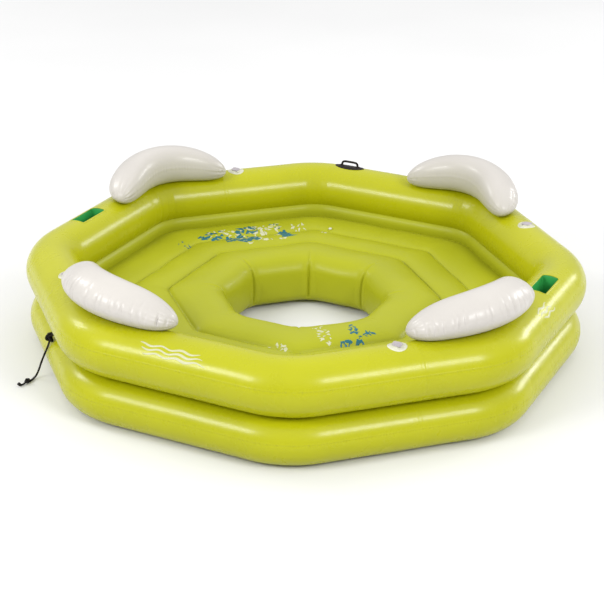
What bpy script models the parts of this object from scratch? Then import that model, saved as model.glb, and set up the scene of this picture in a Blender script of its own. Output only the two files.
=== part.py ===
"""An inflatable floating island for four people: two stacked octagonal tubes, a seat floor, bolsters and fittings.

Metres, +Z up. The origin is on the ground under the middle, and one corner of the octagon points to -Y.
"""

from math import atan2, cos, pi, radians, sin, sqrt, tan

import bmesh
import bpy
from mathutils import Matrix, Vector

# ---------------------------------------------------------------- driving dimensions
SIDES = 8
HALF_SIDE = pi / SIDES
FIRST_CORNER = radians(-90)

GAP = 0.0003
SKIN = 0.0015

UPPER_TUBE_RADIUS = 0.1109
LOWER_TUBE_RADIUS = 0.0948
UPPER_CORNER_REACH = 1.0633
LOWER_CORNER_REACH = 1.0727
CORNER_FILLET = 0.294
TUBE_FACETS = 16
CORNER_STEPS = 2

LOWER_CENTRE_Z = LOWER_TUBE_RADIUS
UPPER_BASE_Z = 2 * LOWER_TUBE_RADIUS + GAP
UPPER_CENTRE_Z = UPPER_BASE_Z + UPPER_TUBE_RADIUS
CROWN_Z = UPPER_CENTRE_Z + UPPER_TUBE_RADIUS
UPPER_APOTHEM = UPPER_CORNER_REACH * cos(HALF_SIDE)
LOWER_APOTHEM = LOWER_CORNER_REACH * cos(HALF_SIDE)

# Seat floor, as distances of its octagons' sides from the middle.
SEAT_OUTER = 0.872
SEAT_OUTER_CREASE = 0.6745
SEAT_INNER_CREASE = 0.5257
SEAT_CREASE_Z = 0.200
SEAT_EDGE_Z = 0.186
SEAT_BASE_Z = 0.022
SEAT_RISE = 0.024
# The innermost chamber, from its crease over the rim and down the foot well's wall.
RIM_SHAPE = (
    (0.510, 0.2135),
    (0.470, 0.2270),
    (0.405, 0.2320),
    (0.362, 0.2260),
    (0.330, 0.2060),
    (0.313, 0.1750),
    (0.307, 0.1250),
    (0.309, 0.0680),
    (0.316, 0.0380),
    (0.334, SEAT_BASE_Z),
)
WEB_THICKNESS = 0.0015
STRIP_OUTER = 0.935
STRIP_Z = 0.18775

# Bolsters
BOLSTER_HALF_LENGTH = 0.323
BOLSTER_CORNER_REACH = 1.0325
BOLSTER_FILLET = 0.358
BOLSTER_HALF_WIDTH = 0.084
BOLSTER_OUTWARD = 0.227
BOLSTER_HALF_HEIGHT = 0.0827
BOLSTER_SINK = 0.003
BOLSTER_END_DROP = 0.028
BOLSTER_END_TAPER = 0.33
BOLSTER_END_SHIFT = 0.0244
BOLSTER_BLUNTNESS = 5.8
BOLSTER_STATIONS = 13
BOLSTER_RING = 12
# Its sections are drawn this much too large, for the rounding draws them in, and stop just short of its tips.
BOLSTER_OVERSIZE = 1.035
BOLSTER_CUT_OFF = 0.985
BOLSTER_CORNERS = {
    "front_right": 1,
    "back_right": 3,
    "back_left": 5,
    "front_left": 7,
}

# Drink wells
WELL_SIDES = {"right": 1, "left": 5}
WELL_SHIFT = 0.100
WELL_OFFSET = 0.006
WELL_BLOCK = 0.192
WELL_LENGTH = 0.172
WELL_WIDTH = 0.070
WELL_DEPTH = 0.098
WELL_FLANGE_WIDTH = 0.076

# Valves
VALVE_SIDES = {"front": 0, "right": 2, "back": 4, "left": 6}
VALVE_SHIFTS = {"front": 0.009, "right": -0.040, "back": 0.0, "left": 0.0}
VALVE_HOLE_RADIUS = 0.0196
VALVE_FLANGE_RADIUS = 0.040
VALVE_FLANGE_THICKNESS = 0.0022
VALVE_NECK_RADIUS = 0.019
VALVE_BORE_RADIUS = 0.015
VALVE_NECK_TOP = 0.0055
VALVE_NECK_BOTTOM = -0.008
CAP_RADIUS = 0.0195
CAP_THICKNESS = 0.0024
CAP_PLUG_RADIUS = 0.0142
CAP_PLUG_DEPTH = 0.005
CAP_HINGE_REACH = 0.0245
CAP_TAB_WIDTH = 0.010
FLAP_RADIUS = 0.0172
FLAP_THICKNESS = 0.0012
ROUND_STEPS = 24

# The small valve of the seat floor, on the outer chamber's facet beside the outer crease
SEAT_VALVE_SIDE = 3
SEAT_VALVE_SHIFT = 0.210
SEAT_VALVE_RADIUS = 0.016
SEAT_VALVE_THICKNESS = 0.0014
SEAT_PLUG_RADIUS = 0.0075
SEAT_PLUG_HEIGHT = 0.0042

# Grab handle
HANDLE_SIDE = 3
HANDLE_SHIFT = 0.252
HANDLE_FACET = 0
PATCH_LENGTH = 0.144
PATCH_WIDTH = 0.066
PATCH_THICKNESS = 0.004
LOOP_SPAN = 0.077
LOOP_RISE = 0.021
LOOP_RADIUS = 0.0045

# Tie cord
CORD_SIDE = 6
CORD_SHIFT = 0.046
CORD_RADIUS = 0.004
CORD_OUT = 1.075
SLEEVE_RADIUS = 0.0065
SLEEVE_LENGTH = 0.020
FITTING_Z = 0.190
FITTING_THICKNESS = 0.004
FITTING_WIDTH = 0.034
FITTING_INNER = 1.025
KNOT_RADIUS = 0.011
CORD_POINTS = 32
CORD_EXIT_Z = FITTING_Z - FITTING_THICKNESS / 2 - SLEEVE_LENGTH - GAP
# How far out from the side, how far along it and how high: from the sleeve's mouth to the knot.
CORD_ROUTE = (
    (CORD_OUT, CORD_SHIFT, CORD_EXIT_Z),
    (CORD_OUT, CORD_SHIFT, CORD_EXIT_Z - 0.006),
    (CORD_OUT + 0.008, CORD_SHIFT + 0.002, 0.140),
    (CORD_OUT + 0.023, CORD_SHIFT + 0.004, 0.108),
    (CORD_OUT + 0.036, CORD_SHIFT + 0.003, 0.078),
    (CORD_OUT + 0.047, CORD_SHIFT - 0.002, 0.044),
    (CORD_OUT + 0.059, CORD_SHIFT - 0.006, 0.016),
    (CORD_OUT + 0.075, CORD_SHIFT + 0.002, 0.0050),
    (CORD_OUT + 0.093, CORD_SHIFT + 0.018, 0.0048),
)

LIME = (0.52, 0.53, 0.035, 1)
SEAT_LIME = (0.44, 0.46, 0.04, 1)
PILLOW_WHITE = (0.74, 0.71, 0.66, 1)
WELL_GREEN = (0.012, 0.13, 0.03, 1)
VALVE_WHITE = (0.82, 0.81, 0.79, 1)
CAP_GREY = (0.48, 0.41, 0.46, 1)
FLAP_CLEAR = (0.70, 0.70, 0.66, 1)
BLACK = (0.012, 0.010, 0.010, 1)


# ---------------------------------------------------------------- scene and materials
def empty_scene():
    for old in list(bpy.data.objects):
        bpy.data.objects.remove(old, do_unlink=True)


def collection(name):
    made = bpy.data.collections.new(name)
    bpy.context.scene.collection.children.link(made)
    return made


def material(name, colour, roughness):
    made = bpy.data.materials.new(name)
    made.use_nodes = True
    surface = made.node_tree.nodes["Principled BSDF"]
    surface.inputs["Base Color"].default_value = colour
    surface.inputs["Roughness"].default_value = roughness
    surface.inputs["Metallic"].default_value = 0.0
    return made


empty_scene()
PARTS = collection("floating_island")
CUTTERS = collection("cutters")
TUBE_VINYL = material("tube_vinyl", LIME, 0.3)
SEAT_VINYL = material("seat_vinyl", SEAT_LIME, 0.35)
PILLOW_VINYL = material("pillow_vinyl", PILLOW_WHITE, 0.4)
WELL_VINYL = material("well_vinyl", WELL_GREEN, 0.4)
VALVE_PLASTIC = material("valve_plastic", VALVE_WHITE, 0.35)
CAP_PLASTIC = material("cap_plastic", CAP_GREY, 0.35)
FLAP_PLASTIC = material("flap_plastic", FLAP_CLEAR, 0.4)
HANDLE_RUBBER = material("handle_rubber", BLACK, 0.5)
CORD_FIBRE = material("cord_fibre", BLACK, 0.8)


def add(name, mesh, surface, smooth=True):
    made = bpy.data.objects.new(name, mesh)
    PARTS.objects.link(made)
    mesh.materials.clear()
    mesh.materials.append(surface)
    if smooth:
        mesh.shade_smooth()
        mesh.set_sharp_from_angle(angle=radians(40))
    return made


def cutter(name, mesh):
    made = bpy.data.objects.new(name, mesh)
    CUTTERS.objects.link(made)
    made.hide_render = True
    made.display_type = "WIRE"
    return made


def cut(piece, tool):
    boolean = piece.modifiers.new("cut_" + tool.name, "BOOLEAN")
    boolean.operation = "DIFFERENCE"
    boolean.solver = "EXACT"
    boolean.object = tool


def mesh_from(shape, name):
    bmesh.ops.recalc_face_normals(shape, faces=shape.faces)
    mesh = bpy.data.meshes.new(name)
    shape.to_mesh(mesh)
    shape.free()
    return mesh


# ---------------------------------------------------------------- the octagon's frames
def side_angle(side):
    return FIRST_CORNER + (2 * side + 1) * HALF_SIDE


def on_side(side, out, along, height):
    """A point by its distance out from the middle, along the side (counter-clockwise) and up."""
    turn = side_angle(side)
    return Vector((out * cos(turn) - along * sin(turn), out * sin(turn) + along * cos(turn), height))


def side_matrix(side, out, along, height):
    """Local X runs out from the middle, local Y along the side, local Z up."""
    return Matrix.Translation(on_side(side, out, along, height)) @ Matrix.Rotation(side_angle(side), 4, "Z")


def side_frames(apothem, fillet, start=None, end=None):
    """(out, along, turn) stations down one side, round half of each corner unless start or end stops it."""
    bend_starts = (apothem - fillet) * tan(HALF_SIDE)
    half_gap_turn = GAP / (fillet - UPPER_TUBE_RADIUS)
    stations = []
    for step in range(CORNER_STEPS + 1):
        turn = (HALF_SIDE - half_gap_turn) * (1 - step / CORNER_STEPS)
        stations.append((apothem - fillet + fillet * cos(turn), bend_starts + fillet * sin(turn), turn))
    low = [(out, -along, -turn) for out, along, turn in stations]
    high = [(out, along, turn) for out, along, turn in reversed(stations)]
    if start is not None:
        low = [(apothem, start, 0.0)]
    if end is not None:
        high = [(apothem, end, 0.0)]
    return low + high


def tube_point(radius, turn):
    """A point on a tube's faceted section; turn 0 is its outer side and 90 degrees its crown."""
    facet = 2 * pi / TUBE_FACETS
    off_centre = (turn + facet / 2) % facet - facet / 2
    reach = radius / cos(off_centre)
    return (reach * cos(turn), reach * sin(turn))


def tube_section(radius, start=None, end=None):
    """The section's points from one turn to the other, or all the way round."""
    facet = 2 * pi / TUBE_FACETS
    if start is None:
        return [tube_point(radius, facet * (k + 0.5)) for k in range(TUBE_FACETS)]
    turns = [start]
    turns += [facet * (k + 0.5) for k in range(-TUBE_FACETS, TUBE_FACETS) if start < facet * (k + 0.5) < end]
    turns.append(end)
    return [tube_point(radius, turn) for turn in turns]


# ---------------------------------------------------------------- lofted skins
def skin_loft(name, rings_outside, rings_inside, closed):
    """A wall between an outer and an inner run of matching rings of points."""
    shape = bmesh.new()
    outside = [[shape.verts.new(point) for point in ring] for ring in rings_outside]
    inside = [[shape.verts.new(point) for point in ring] for ring in rings_inside]
    count = len(rings_outside[0])
    steps = range(count if closed else count - 1)
    for layer in (outside, inside):
        for near, far in zip(layer, layer[1:]):
            for k in steps:
                after = (k + 1) % count
                shape.faces.new((near[k], near[after], far[after], far[k]))
    for end in (0, -1):
        for k in steps:
            after = (k + 1) % count
            shape.faces.new((outside[end][k], outside[end][after], inside[end][after], inside[end][k]))
    if not closed:
        for edge in (0, count - 1):
            for k in range(len(outside) - 1):
                shape.faces.new((outside[k][edge], outside[k + 1][edge], inside[k + 1][edge], inside[k][edge]))
    return mesh_from(shape, name)


def rings_on_side(side, frames, section, centre_z):
    rings = []
    for out, along, turn in frames:
        centre = on_side(side, out, along, centre_z)
        heading = side_angle(side) + turn
        rings.append([centre + Vector((s * cos(heading), s * sin(heading), h)) for s, h in section])
    return rings


def tube_panel(name, side, radius, apothem, centre_z, frames, arc=(None, None)):
    outer = rings_on_side(side, frames, tube_section(radius, *arc), centre_z)
    inner = rings_on_side(side, frames, tube_section(radius - SKIN, *arc), centre_z)
    mesh = skin_loft(name, outer, inner, closed=arc[0] is None)
    return add(name, mesh, TUBE_VINYL)


def make_lower_tube():
    for side in range(SIDES):
        frames = side_frames(LOWER_APOTHEM, CORNER_FILLET)
        tube_panel(f"lower_tube_panel_{side + 1}", side, LOWER_TUBE_RADIUS, LOWER_APOTHEM, LOWER_CENTRE_Z, frames)


def make_upper_tube():
    for side in range(SIDES):
        name = f"upper_tube_panel_{side + 1}"
        if side in WELL_SIDES.values():
            make_well_side(name, side)
            continue
        frames = side_frames(UPPER_APOTHEM, CORNER_FILLET)
        panel = tube_panel(name, side, UPPER_TUBE_RADIUS, UPPER_APOTHEM, UPPER_CENTRE_Z, frames)
        if side in VALVE_SIDES.values():
            cut(panel, valve_hole(side))


def make_well_side(name, side):
    """A side with a drink well: a panel before it and after it, and two cheeks and a cradle round it."""
    block_start = WELL_SHIFT - WELL_BLOCK / 2
    block_end = WELL_SHIFT + WELL_BLOCK / 2
    shape = (UPPER_TUBE_RADIUS, UPPER_APOTHEM, UPPER_CENTRE_Z)
    before = side_frames(UPPER_APOTHEM, CORNER_FILLET, end=block_start - GAP)
    after = side_frames(UPPER_APOTHEM, CORNER_FILLET, start=block_end + GAP)
    tube_panel(name + "_before_well", side, *shape, before)
    tube_panel(name + "_after_well", side, *shape, after)
    block = side_frames(UPPER_APOTHEM, CORNER_FILLET, start=block_start, end=block_end)
    split = GAP / UPPER_TUBE_RADIUS
    half_width = WELL_FLANGE_WIDTH / 2 + GAP
    outer_edge = turn_over(WELL_OFFSET + half_width)
    inner_edge = turn_over(WELL_OFFSET - half_width)
    tube_panel(name + "_outer_cheek", side, *shape, block, (split, outer_edge))
    tube_panel(name + "_inner_cheek", side, *shape, block, (inner_edge, pi - split))
    tube_panel(name + "_cradle", side, *shape, block, (-pi, 0.0))


def turn_over(offset):
    """The section's turn above the point that lies this far out from the tube's centre."""
    low, high = 0.0, pi
    for _ in range(40):
        middle = (low + high) / 2
        if tube_point(UPPER_TUBE_RADIUS, middle)[0] > offset:
            low = middle
        else:
            high = middle
    return (low + high) / 2


# ---------------------------------------------------------------- seat floor
def crowned(start, end, start_z, end_z, rise, steps):
    """Points after start along a shallow arch, up to and with its end."""
    points = []
    for step in range(1, steps + 1):
        part = step / steps
        arch = 4 * rise * part * (1 - part)
        points.append((start + (end - start) * part, start_z + (end_z - start_z) * part + arch))
    return points


def seat_section():
    rounding = 0.030
    points = [(SEAT_OUTER, SEAT_BASE_Z + rounding), (SEAT_OUTER, SEAT_EDGE_Z - 0.012)]
    points += [(SEAT_OUTER - 0.006, SEAT_EDGE_Z)]
    points += outer_chamber()
    points += crowned(SEAT_OUTER_CREASE, SEAT_INNER_CREASE, SEAT_CREASE_Z, SEAT_CREASE_Z, SEAT_RISE * 0.8, 4)
    points += list(RIM_SHAPE)
    points += [(SEAT_OUTER - 0.050, SEAT_BASE_Z), (SEAT_OUTER - 0.012, SEAT_BASE_Z + 0.008)]
    return points


def outer_chamber():
    return crowned(SEAT_OUTER - 0.006, SEAT_OUTER_CREASE, SEAT_EDGE_Z, SEAT_CREASE_Z, SEAT_RISE, 4)


def inset(points, depth):
    """The closed section moved in by depth, corner by corner."""
    centre_sign = 1 if signed_area(points) > 0 else -1
    moved = []
    for k, point in enumerate(points):
        before = Vector(points[k - 1])
        here = Vector(point)
        after = Vector(points[(k + 1) % len(points)])
        first = (here - before).normalized()
        second = (after - here).normalized()
        normal = Vector((-(first.y + second.y), first.x + second.x)).normalized() * centre_sign
        square = Vector((-first.y, first.x)) * centre_sign
        moved.append(tuple(here + normal * depth / max(normal.dot(square), 0.5)))
    return moved


def signed_area(points):
    return sum(a[0] * b[1] - b[0] * a[1] for a, b in zip(points, points[1:] + points[:1])) / 2


def mitred_rings(side, section):
    rings = []
    for sign in (-1, 1):
        rings.append([on_side(side, out, sign * (out * tan(HALF_SIDE) - GAP / 2), z) for out, z in section])
    return rings


def octagon_spline(curve, apothem):
    spline = curve.splines.new("POLY")
    spline.points.add(SIDES - 1)
    for k in range(SIDES):
        corner = FIRST_CORNER + 2 * k * HALF_SIDE
        reach = apothem / cos(HALF_SIDE)
        spline.points[k].co = (reach * cos(corner), reach * sin(corner), 0, 1)
    spline.use_cyclic_u = True


def octagon_band(name, inner, outer, low, high, surface):
    curve = bpy.data.curves.new(name, "CURVE")
    curve.dimensions = "2D"
    curve.fill_mode = "BOTH"
    curve.extrude = (high - low) / 2
    octagon_spline(curve, outer)
    octagon_spline(curve, inner)
    curve.materials.append(surface)
    band = bpy.data.objects.new(name, curve)
    band.location.z = (high + low) / 2
    PARTS.objects.link(band)


def make_seat():
    section = seat_section()
    inner_section = inset(section, SKIN)
    for side in range(SIDES):
        name = f"seat_panel_{side + 1}"
        mesh = skin_loft(name, mitred_rings(side, section), mitred_rings(side, inner_section), closed=True)
        add(name, mesh, SEAT_VINYL)
    web_low = SEAT_BASE_Z + SKIN + GAP
    web_high = SEAT_CREASE_Z - SKIN - GAP
    for name, crease in (("outer_seat_web", SEAT_OUTER_CREASE), ("inner_seat_web", SEAT_INNER_CREASE)):
        half = WEB_THICKNESS / 2
        octagon_band(name, crease - half, crease + half, web_low, web_high, SEAT_VINYL)
    strip_low = STRIP_Z - SKIN / 2
    octagon_band("seat_strip", SEAT_OUTER + GAP, STRIP_OUTER, strip_low, strip_low + SKIN, SEAT_VINYL)


# ---------------------------------------------------------------- bolsters
def corner_station(distance):
    """(x, y, heading) round a corner on the bolster's centre line, in a frame whose +X points to that corner."""
    fillet_centre = BOLSTER_CORNER_REACH - BOLSTER_FILLET / cos(HALF_SIDE)
    bend = BOLSTER_FILLET * HALF_SIDE
    turn = max(-HALF_SIDE, min(HALF_SIDE, distance / BOLSTER_FILLET))
    x = fillet_centre + BOLSTER_FILLET * cos(turn)
    y = BOLSTER_FILLET * sin(turn)
    rest = distance - max(-bend, min(bend, distance))
    return (x - rest * sin(turn), y + rest * cos(turn), turn)


def bolster_ring(part):
    """One section of a bolster, part running from -1 to 1: wider on its outer side, lower and further in at its ends."""
    swell = BOLSTER_OVERSIZE * sqrt(1 - abs(part * BOLSTER_CUT_OFF) ** BOLSTER_BLUNTNESS)
    x, y, turn = corner_station(BOLSTER_HALF_LENGTH * part)
    half_height = BOLSTER_HALF_HEIGHT * (1 - BOLSTER_END_TAPER * part**2)
    ring = []
    for j in range(BOLSTER_RING):
        angle = 2 * pi * j / BOLSTER_RING
        out = BOLSTER_HALF_WIDTH * swell * cos(angle) * (1 + BOLSTER_OUTWARD * cos(angle))
        out -= BOLSTER_END_SHIFT * part**2
        up = half_height * (1 + swell * sin(angle)) - BOLSTER_SINK - BOLSTER_END_DROP * part**2
        ring.append((x + out * cos(turn), y + out * sin(turn), up))
    return ring


def corner_cutter(name, corner):
    """The upper tube's filled outline round one corner, a gap larger all round."""
    before = (corner - 1) % SIDES
    frames = side_frames(UPPER_APOTHEM, CORNER_FILLET)
    section = tube_section(UPPER_TUBE_RADIUS + GAP)
    middle = [(UPPER_APOTHEM, 0.0, 0.0)]
    half = len(frames) // 2
    rings = rings_on_side(before, middle + frames[half:], section, UPPER_CENTRE_Z)
    rings += rings_on_side(corner, frames[:half] + middle, section, UPPER_CENTRE_Z)
    shape = bmesh.new()
    loops = [[shape.verts.new(point) for point in ring] for ring in rings]
    count = len(section)
    for near, far in zip(loops, loops[1:]):
        for k in range(count):
            shape.faces.new((near[k], near[(k + 1) % count], far[(k + 1) % count], far[k]))
    shape.faces.new(loops[0])
    shape.faces.new(loops[-1])
    return cutter(name, mesh_from(shape, name))


def make_bolster(name, corner):
    shape = bmesh.new()
    rings = []
    for k in range(BOLSTER_STATIONS):
        part = sin(pi / 2 * (-1 + 2 * k / (BOLSTER_STATIONS - 1)))
        rings.append([shape.verts.new(point) for point in bolster_ring(part)])
    for near, far in zip(rings, rings[1:]):
        for j in range(BOLSTER_RING):
            after = (j + 1) % BOLSTER_RING
            shape.faces.new((near[j], near[after], far[after], far[j]))
    shape.faces.new(rings[0])
    shape.faces.new(rings[-1])
    bolster = add(name, mesh_from(shape, name), PILLOW_VINYL)
    bolster.matrix_world = Matrix.Rotation(FIRST_CORNER + 2 * corner * HALF_SIDE, 4, "Z")
    bolster.location.z = CROWN_Z
    smooth = bolster.modifiers.new("rounded", "SUBSURF")
    smooth.levels = 1
    smooth.render_levels = 1
    cut(bolster, corner_cutter(name + "_bed", corner))


# ---------------------------------------------------------------- drink wells
def make_drink_well(name, side):
    """A pocket with a flange, hung flush in the crown of the upper tube."""
    shape = bmesh.new()
    loops = (
        (WELL_BLOCK - 2 * GAP, WELL_FLANGE_WIDTH, 0.0),
        (WELL_LENGTH, WELL_WIDTH, 0.0),
        (WELL_LENGTH - 0.006, WELL_WIDTH - 0.004, -WELL_DEPTH),
    )
    rings = []
    for length, width, height in loops:
        corners = ((-1, -1), (1, -1), (1, 1), (-1, 1))
        rings.append([shape.verts.new((x * width / 2, y * length / 2, height)) for x, y in corners])
    for near, far in zip(rings, rings[1:]):
        for k in range(4):
            shape.faces.new((near[k], near[(k + 1) % 4], far[(k + 1) % 4], far[k]))
    shape.faces.new(rings[-1])
    mesh = mesh_from(shape, name)
    if mesh.polygons[-1].normal.z < 0:
        mesh.flip_normals()
    well = add(name, mesh, WELL_VINYL, smooth=False)
    well.matrix_world = side_matrix(side, UPPER_APOTHEM + WELL_OFFSET, WELL_SHIFT, CROWN_Z)
    wall = well.modifiers.new("wall", "SOLIDIFY")
    wall.thickness = SKIN
    wall.offset = -1


# ---------------------------------------------------------------- valves
def valve_matrix(side):
    shift = {VALVE_SIDES[place]: VALVE_SHIFTS[place] for place in VALVE_SIDES}[side]
    return side_matrix(side, UPPER_APOTHEM, shift, CROWN_Z)


def valve_hole(side):
    shape = bmesh.new()
    bmesh.ops.create_cone(
        shape,
        cap_ends=True,
        segments=ROUND_STEPS,
        radius1=VALVE_HOLE_RADIUS,
        radius2=VALVE_HOLE_RADIUS,
        depth=0.04,
    )
    hole = cutter(f"valve_hole_{side + 1}", mesh_from(shape, "valve_hole"))
    hole.matrix_world = valve_matrix(side)
    return hole


def turned(name, profile, surface, place):
    """A body of revolution from (radius, height) points that run down its outer side and close at the axis."""
    mesh = bpy.data.meshes.new(name)
    points = [(radius, 0, height) for radius, height in profile]
    edges = [(k, k + 1) for k in range(len(points) - 1)]
    mesh.from_pydata(points, edges, [])
    piece = add(name, mesh, surface, smooth=False)
    piece.matrix_world = place
    screw = piece.modifiers.new("turn", "SCREW")
    screw.steps = ROUND_STEPS
    screw.render_steps = ROUND_STEPS
    screw.use_merge_vertices = True
    screw.merge_threshold = 0.00001
    screw.use_smooth_shade = False
    return piece


def make_valve(name, side):
    place = valve_matrix(side)
    sheet = GAP
    flange_top = sheet + VALVE_FLANGE_THICKNESS
    turned(
        f"{name}_valve_base",
        (
            (VALVE_BORE_RADIUS, VALVE_NECK_TOP),
            (VALVE_NECK_RADIUS, VALVE_NECK_TOP),
            (VALVE_NECK_RADIUS, flange_top),
            (VALVE_FLANGE_RADIUS - 0.0015, flange_top),
            (VALVE_FLANGE_RADIUS, sheet + 0.0008),
            (VALVE_FLANGE_RADIUS, sheet),
            (VALVE_NECK_RADIUS, sheet),
            (VALVE_NECK_RADIUS, VALVE_NECK_BOTTOM),
            (VALVE_BORE_RADIUS, VALVE_NECK_BOTTOM),
            (VALVE_BORE_RADIUS, VALVE_NECK_TOP),
        ),
        VALVE_PLASTIC,
        place,
    )
    make_cap(f"{name}_valve_cap", place)
    make_flap(f"{name}_valve_flap", place)


def make_cap(name, place):
    """A lid with a plug under it and a tab that bends at the hinge, which is its origin."""
    lid_low = VALVE_NECK_TOP + GAP
    hinge_z = lid_low + CAP_THICKNESS / 2
    shape = bmesh.new()
    lid = Matrix.Translation((CAP_HINGE_REACH, 0, 0))
    cone = {"cap_ends": True, "segments": ROUND_STEPS}
    bmesh.ops.create_cone(
        shape, **cone, radius1=CAP_RADIUS, radius2=CAP_RADIUS - 0.0006, depth=CAP_THICKNESS, matrix=lid
    )
    piece = add(name, mesh_from(shape, name), CAP_PLASTIC, smooth=False)
    piece.matrix_world = place @ Matrix.Translation((-CAP_HINGE_REACH, 0, hinge_z))
    plug_shape = bmesh.new()
    plug_depth = CAP_PLUG_DEPTH + CAP_THICKNESS / 2
    plug_place = Matrix.Translation((CAP_HINGE_REACH, 0, -CAP_THICKNESS / 2 - CAP_PLUG_DEPTH + plug_depth / 2))
    bmesh.ops.create_cone(
        plug_shape,
        **cone,
        radius1=CAP_PLUG_RADIUS - 0.0006,
        radius2=CAP_PLUG_RADIUS,
        depth=plug_depth,
        matrix=plug_place,
    )
    join(piece, cutter(name + "_plug", mesh_from(plug_shape, name + "_plug")))
    tab_shape = bmesh.new()
    tab_reach = CAP_HINGE_REACH - CAP_RADIUS + 0.004
    bmesh.ops.create_cube(
        tab_shape,
        size=1,
        matrix=Matrix.Translation((tab_reach / 2, 0, 0))
        @ Matrix.Diagonal((tab_reach, CAP_TAB_WIDTH, CAP_THICKNESS * 0.6, 1)),
    )
    join(piece, cutter(name + "_tab", mesh_from(tab_shape, name + "_tab")))


def join(piece, other):
    other.matrix_world = piece.matrix_world
    boolean = piece.modifiers.new("join_" + other.name, "BOOLEAN")
    boolean.operation = "UNION"
    boolean.solver = "EXACT"
    boolean.object = other


def make_flap(name, place):
    """The one-way disc under the neck, hinged at its edge."""
    shape = bmesh.new()
    bmesh.ops.create_cone(
        shape,
        cap_ends=True,
        segments=ROUND_STEPS,
        radius1=FLAP_RADIUS,
        radius2=FLAP_RADIUS,
        depth=FLAP_THICKNESS,
        matrix=Matrix.Translation((FLAP_RADIUS, 0, 0)),
    )
    flap = add(name, mesh_from(shape, name), FLAP_PLASTIC, smooth=False)
    drop = VALVE_NECK_BOTTOM - GAP - FLAP_THICKNESS / 2
    flap.matrix_world = place @ Matrix.Translation((-FLAP_RADIUS, 0, drop))


def make_seat_valve():
    """A small flanged plug, square to the facet just outside the outer crease."""
    (far_out, far_height), (near_out, near_height) = outer_chamber()[-2:]
    tilt = -atan2(far_height - near_height, far_out - near_out)
    middle_out = (far_out + near_out) / 2
    middle_height = (far_height + near_height) / 2
    centre = side_matrix(SEAT_VALVE_SIDE, middle_out, SEAT_VALVE_SHIFT, middle_height)
    place = centre @ Matrix.Rotation(tilt, 4, "Y")
    turned(
        "seat_valve",
        (
            (0.0, SEAT_PLUG_HEIGHT),
            (SEAT_PLUG_RADIUS - 0.001, SEAT_PLUG_HEIGHT),
            (SEAT_PLUG_RADIUS, SEAT_PLUG_HEIGHT - 0.001),
            (SEAT_PLUG_RADIUS, SEAT_VALVE_THICKNESS),
            (SEAT_VALVE_RADIUS - 0.0008, SEAT_VALVE_THICKNESS),
            (SEAT_VALVE_RADIUS, GAP + 0.0004),
            (SEAT_VALVE_RADIUS, GAP),
            (0.0, GAP),
        ),
        VALVE_PLASTIC,
        place,
    )


# ---------------------------------------------------------------- grab handle
def handle_matrix():
    """On the crown's facet: local Z stands off the facet and local Y runs along the side."""
    tilt = 2 * pi / TUBE_FACETS * HANDLE_FACET
    centre = side_matrix(HANDLE_SIDE, UPPER_APOTHEM, HANDLE_SHIFT, UPPER_CENTRE_Z)
    return centre @ Matrix.Rotation(tilt, 4, "Y") @ Matrix.Translation((0, 0, UPPER_TUBE_RADIUS + GAP))


def make_handle():
    shape = bmesh.new()
    bmesh.ops.create_cone(
        shape,
        cap_ends=True,
        segments=32,
        radius1=PATCH_WIDTH / 2,
        radius2=PATCH_WIDTH / 2 - 0.0015,
        depth=PATCH_THICKNESS,
        matrix=Matrix.Translation((0, 0, PATCH_THICKNESS / 2)),
    )
    bmesh.ops.scale(shape, verts=shape.verts, vec=(1, PATCH_LENGTH / PATCH_WIDTH, 1))
    patch = add("handle_patch", mesh_from(shape, "handle_patch"), HANDLE_RUBBER, smooth=False)
    patch.matrix_world = handle_matrix()

    curve = bpy.data.curves.new("handle_loop", "CURVE")
    curve.dimensions = "3D"
    curve.bevel_depth = LOOP_RADIUS
    curve.bevel_resolution = 2
    curve.use_fill_caps = True
    spline = curve.splines.new("POLY")
    route = loop_route()
    spline.points.add(len(route) - 1)
    for point, (y, z) in zip(spline.points, route):
        point.co = (0, y, z, 1)
    curve.materials.append(HANDLE_RUBBER)
    loop = bpy.data.objects.new("handle_loop", curve)
    PARTS.objects.link(loop)
    loop.matrix_world = handle_matrix() @ Matrix.Translation((0, 0, PATCH_THICKNESS + GAP))


def loop_route():
    bend = 0.013
    half = LOOP_SPAN / 2
    steps = 5
    arc = []
    for step in range(steps + 1):
        turn = pi / 2 * step / steps
        arc.append((half - bend + bend * cos(turn), LOOP_RISE - bend + bend * sin(turn)))
    right = [(half, 0.0)] + arc
    return right + [(-y, z) for y, z in reversed(right)]


# ---------------------------------------------------------------- tie cord
def smooth_route(knots, count):
    """Points evenly placed on a Catmull-Rom curve through the knots."""
    padded = [knots[0] * 2 - knots[1], *knots, knots[-1] * 2 - knots[-2]]
    fine = []
    steps = 24
    for k in range(1, len(padded) - 2):
        before, start, end, after = padded[k - 1 : k + 3]
        for step in range(steps):
            t = step / steps
            fine.append(
                0.5
                * (
                    2 * start
                    + (end - before) * t
                    + (2 * before - 5 * start + 4 * end - after) * t * t
                    + (3 * start - before - 3 * end + after) * t * t * t
                )
            )
    fine.append(knots[-1])
    lengths = [0.0]
    for near, far in zip(fine, fine[1:]):
        lengths.append(lengths[-1] + (far - near).length)
    points = []
    at = 0
    for k in range(count):
        wanted = lengths[-1] * k / (count - 1)
        while at < len(fine) - 2 and lengths[at + 1] < wanted:
            at += 1
        part = (wanted - lengths[at]) / (lengths[at + 1] - lengths[at])
        points.append(fine[at].lerp(fine[at + 1], min(1.0, part)))
    return points


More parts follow.
